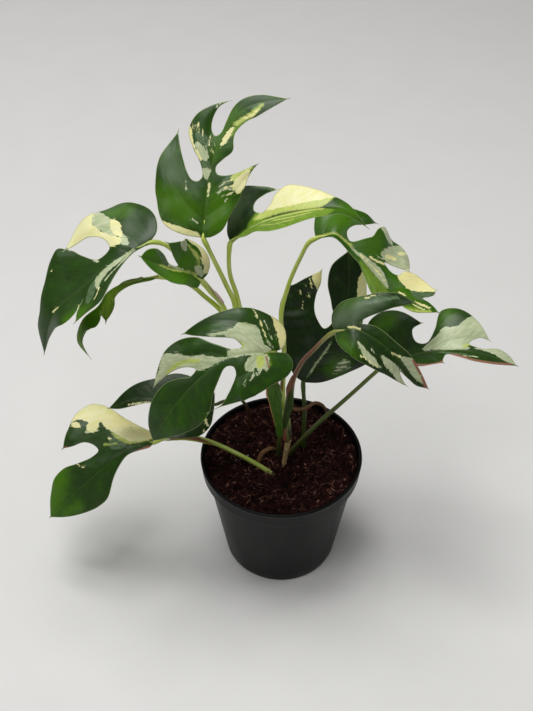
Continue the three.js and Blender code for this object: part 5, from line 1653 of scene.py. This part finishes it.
def build_fibres(name, material, count, lengths, radius, lift, pale):
    """Loose coir fibres: thin bent threads lying on the surface."""
    xs, ys = spread_in_pot(count, FIBRE_LIMIT)
    points, faces, age = [], [], []
    for x, y in zip(xs, ys):
        length = RANDOM.uniform(*lengths)
        turn = RANDOM.uniform(0, 2 * math.pi)
        curl = RANDOM.normal(0, 0.45)
        thick = radius * RANDOM.uniform(0.6, 1.4)
        rise = RANDOM.uniform(0, lift) ** 1.5
        tint = RANDOM.uniform(0, 1) ** (1 / pale)
        start = len(points)
        px, py = x, y
        for k in range(FIBRE_STEPS + 1):
            u = k / FIBRE_STEPS
            far = math.hypot(px, py)
            if far > FIBRE_LIMIT:
                px, py = px * FIBRE_LIMIT / far, py * FIBRE_LIMIT / far
            arch = rise * math.sin(math.pi * u) + FIBRE_WIGGLE * math.sin(9 * u + x)
            centre = np.array([px, py, coir_level(px, py) + FIBRE_CLEARANCE + arch])
            way = turn + curl * (k - FIBRE_STEPS / 2)
            across = np.array([-math.sin(way), math.cos(way), 0])
            width = thick * (1 - 0.7 * abs(2 * u - 1) ** 3)
            for angle in np.linspace(0, 2 * math.pi, FIBRE_SIDES, endpoint=False):
                points.append(centre + width * (across * math.cos(angle) + (0, 0, math.sin(angle))))
            px += length / FIBRE_STEPS * math.cos(way)
            py += length / FIBRE_STEPS * math.sin(way)
        end = len(points) - 1
        faces += ring_faces(FIBRE_STEPS + 1, FIBRE_SIDES, start)
        faces += [(start, start + 1, start + 2), (end, end - 1, end - 2)]
        age += [tint] * (len(points) - start)
    add_piece(name, points, faces, [material], "coir", age=age)


# A ball of twenty triangles, from which the chips are squashed.

GOLDEN = (1 + math.sqrt(5)) / 2
BALL = unit([
    (-1, GOLDEN, 0), (1, GOLDEN, 0), (-1, -GOLDEN, 0), (1, -GOLDEN, 0),
    (0, -1, GOLDEN), (0, 1, GOLDEN), (0, -1, -GOLDEN), (0, 1, -GOLDEN),
    (GOLDEN, 0, -1), (GOLDEN, 0, 1), (-GOLDEN, 0, -1), (-GOLDEN, 0, 1),
])
BALL_FACES = np.array([
    (0, 11, 5), (0, 5, 1), (0, 1, 7), (0, 7, 10), (0, 10, 11), (1, 5, 9), (5, 11, 4),
    (11, 10, 2), (10, 7, 6), (7, 1, 8), (3, 9, 4), (3, 4, 2), (3, 2, 6), (3, 6, 8),
    (3, 8, 9), (4, 9, 5), (2, 4, 11), (6, 2, 10), (8, 6, 7), (9, 8, 1),
])


def build_chips(name, material, count, sizes, pale, sink):
    """Husk chips and crumbs: small squashed lumps, half sunk in the surface."""
    xs, ys = spread_in_pot(count, CHIP_LIMIT)
    points, faces, age = [], [], []
    for x, y in zip(xs, ys):
        size = RANDOM.uniform(*sizes)
        shape = size * RANDOM.uniform((0.6, 0.35, 0.25), (1.5, 0.8, 0.6))
        turn = RANDOM.uniform(0, 2 * math.pi)
        tilt = RANDOM.normal(0, 0.4)
        lump = BALL * RANDOM.uniform(0.7, 1.3, (len(BALL), 1)) * shape
        cos, sin = math.cos(tilt), math.sin(tilt)
        lump = lump @ np.array([[cos, 0, sin], [0, 1, 0], [-sin, 0, cos]])
        cos, sin = math.cos(turn), math.sin(turn)
        lump = lump @ np.array([[cos, sin, 0], [-sin, cos, 0], [0, 0, 1]])
        faces += list(BALL_FACES + len(points))
        points += list(lump + (x, y, coir_level(x, y) + CHIP_CLEARANCE - sink * size))
        age += [RANDOM.uniform(0, 1) ** (1 / pale)] * len(BALL)
    add_piece(name, points, faces, [material], "coir", age=age, facets=np.ones(len(faces)))


# ---------------------------------------------------------------- stage


def add_camera():
    """The camera, tilted down as the pot's rim shows."""
    data = bpy.data.cameras.new("camera")
    data.sensor_width = SENSOR
    data.lens = FOCAL_PIXELS * SENSOR / PHOTO_HEIGHT
    camera = bpy.data.objects.new("camera", data)
    target = Vector(CAMERA_TARGET) * METRE
    ahead = Vector((0, math.cos(CAMERA_PITCH), -math.sin(CAMERA_PITCH)))
    camera.location = target - ahead * CAMERA_DISTANCE * METRE
    camera.rotation_euler = ahead.to_track_quat("-Z", "Y").to_euler()
    data.clip_start = 0.01
    bpy.context.scene.collection.objects.link(camera)
    bpy.context.scene.camera = camera


def add_light(name, place, size, watts, colour=(1, 1, 1)):
    data = bpy.data.lights.new(name, "AREA")
    data.shape = "RECTANGLE"
    data.size, data.size_y = size
    data.energy = watts
    data.color = colour
    light = bpy.data.objects.new(name, data)
    light.location = place
    light.rotation_euler = (Vector(LIT_POINT) - Vector(place)).to_track_quat("-Z", "Y").to_euler()
    bpy.context.scene.collection.objects.link(light)


def add_stage():
    """A plain pale floor and soft light from all round."""
    bpy.ops.mesh.primitive_plane_add(size=FLOOR_SIZE, location=(0, 0, 0))
    floor = bpy.context.object
    floor.name = "floor"
    shader = Shader("floor_paint", roughness=0.8, specular=0.2)
    fine = shader.noise(shader.place(), 0.02, detail=3)
    colour = shader.mix(fine, (226, 225, 222), (232, 231, 228))
    floor.data.materials.append(shader.finish(colour))

    for name, light in LIGHTS.items():
        add_light(name, **light)
    world = bpy.data.worlds.new("studio")
    world.use_nodes = True
    background = world.node_tree.nodes["Background"]
    background.inputs["Color"].default_value = (1, 1, 1, 1)
    background.inputs["Strength"].default_value = ROOM_LIGHT
    bpy.context.scene.world = world
    bpy.context.scene.view_settings.view_transform = "Standard"


# ---------------------------------------------------------------- assembly

add_camera()
add_stage()

blade_materials = [
    leaf_material("leaf_upper", paleness=0.0, roughness=0.36, specular=0.28),
    leaf_material("leaf_under", paleness=0.55, roughness=0.6, specular=0.3),
]
petiole_material = stalk_material(
    "petiole_skin", (186, 212, 58), (226, 234, 140), (62, 82, 26), (88, 60, 38),
)
for number, (leaf_name, leaf) in enumerate(LEAVES.items()):
    sheet = build_leaf(leaf_name, leaf, number, blade_materials)
    build_petiole(leaf_name, leaf, sheet, petiole_material)

barks = {
    "cane": bark_material("cane_bark", (150, 118, 74), (228, 200, 146), 0.75, 0.3),
    "stem": stalk_material(
        "stem_bark", (150, 180, 54), (200, 214, 110), (54, 64, 28), (96, 76, 48), 0.5,
    ),
    "root": bark_material("root_bark", (70, 46, 30), (132, 96, 62), 0.85, 0.5),
}
for stalk_name, stalk in STALKS.items():
    build_stalk(stalk_name, stalk, barks[stalk["look"]])

papers = {look: sheath_material(look, *colours) for look, colours in SHEATH_COLOURS.items()}
for sheath_name, sheath in SHEATHS.items():
    build_sheath(sheath_name, sheath, papers[sheath["look"]])

coir = coir_material()
build_coir_bed(coir)
build_fibres("coir_fibres_fine", coir, count=3800, lengths=(3, 9), radius=0.14, lift=1.8, pale=0.7)
build_fibres("coir_fibres_coarse", coir, count=900, lengths=(5, 15), radius=0.26, lift=2.4, pale=0.9)
build_chips("coir_chips", coir, count=3600, sizes=(0.7, 2.1), pale=0.45, sink=0.2)
build_chips("perlite", perlite_material(), count=9, sizes=(0.8, 1.3), pale=1.0, sink=0.0)

build_pot(pot_material())
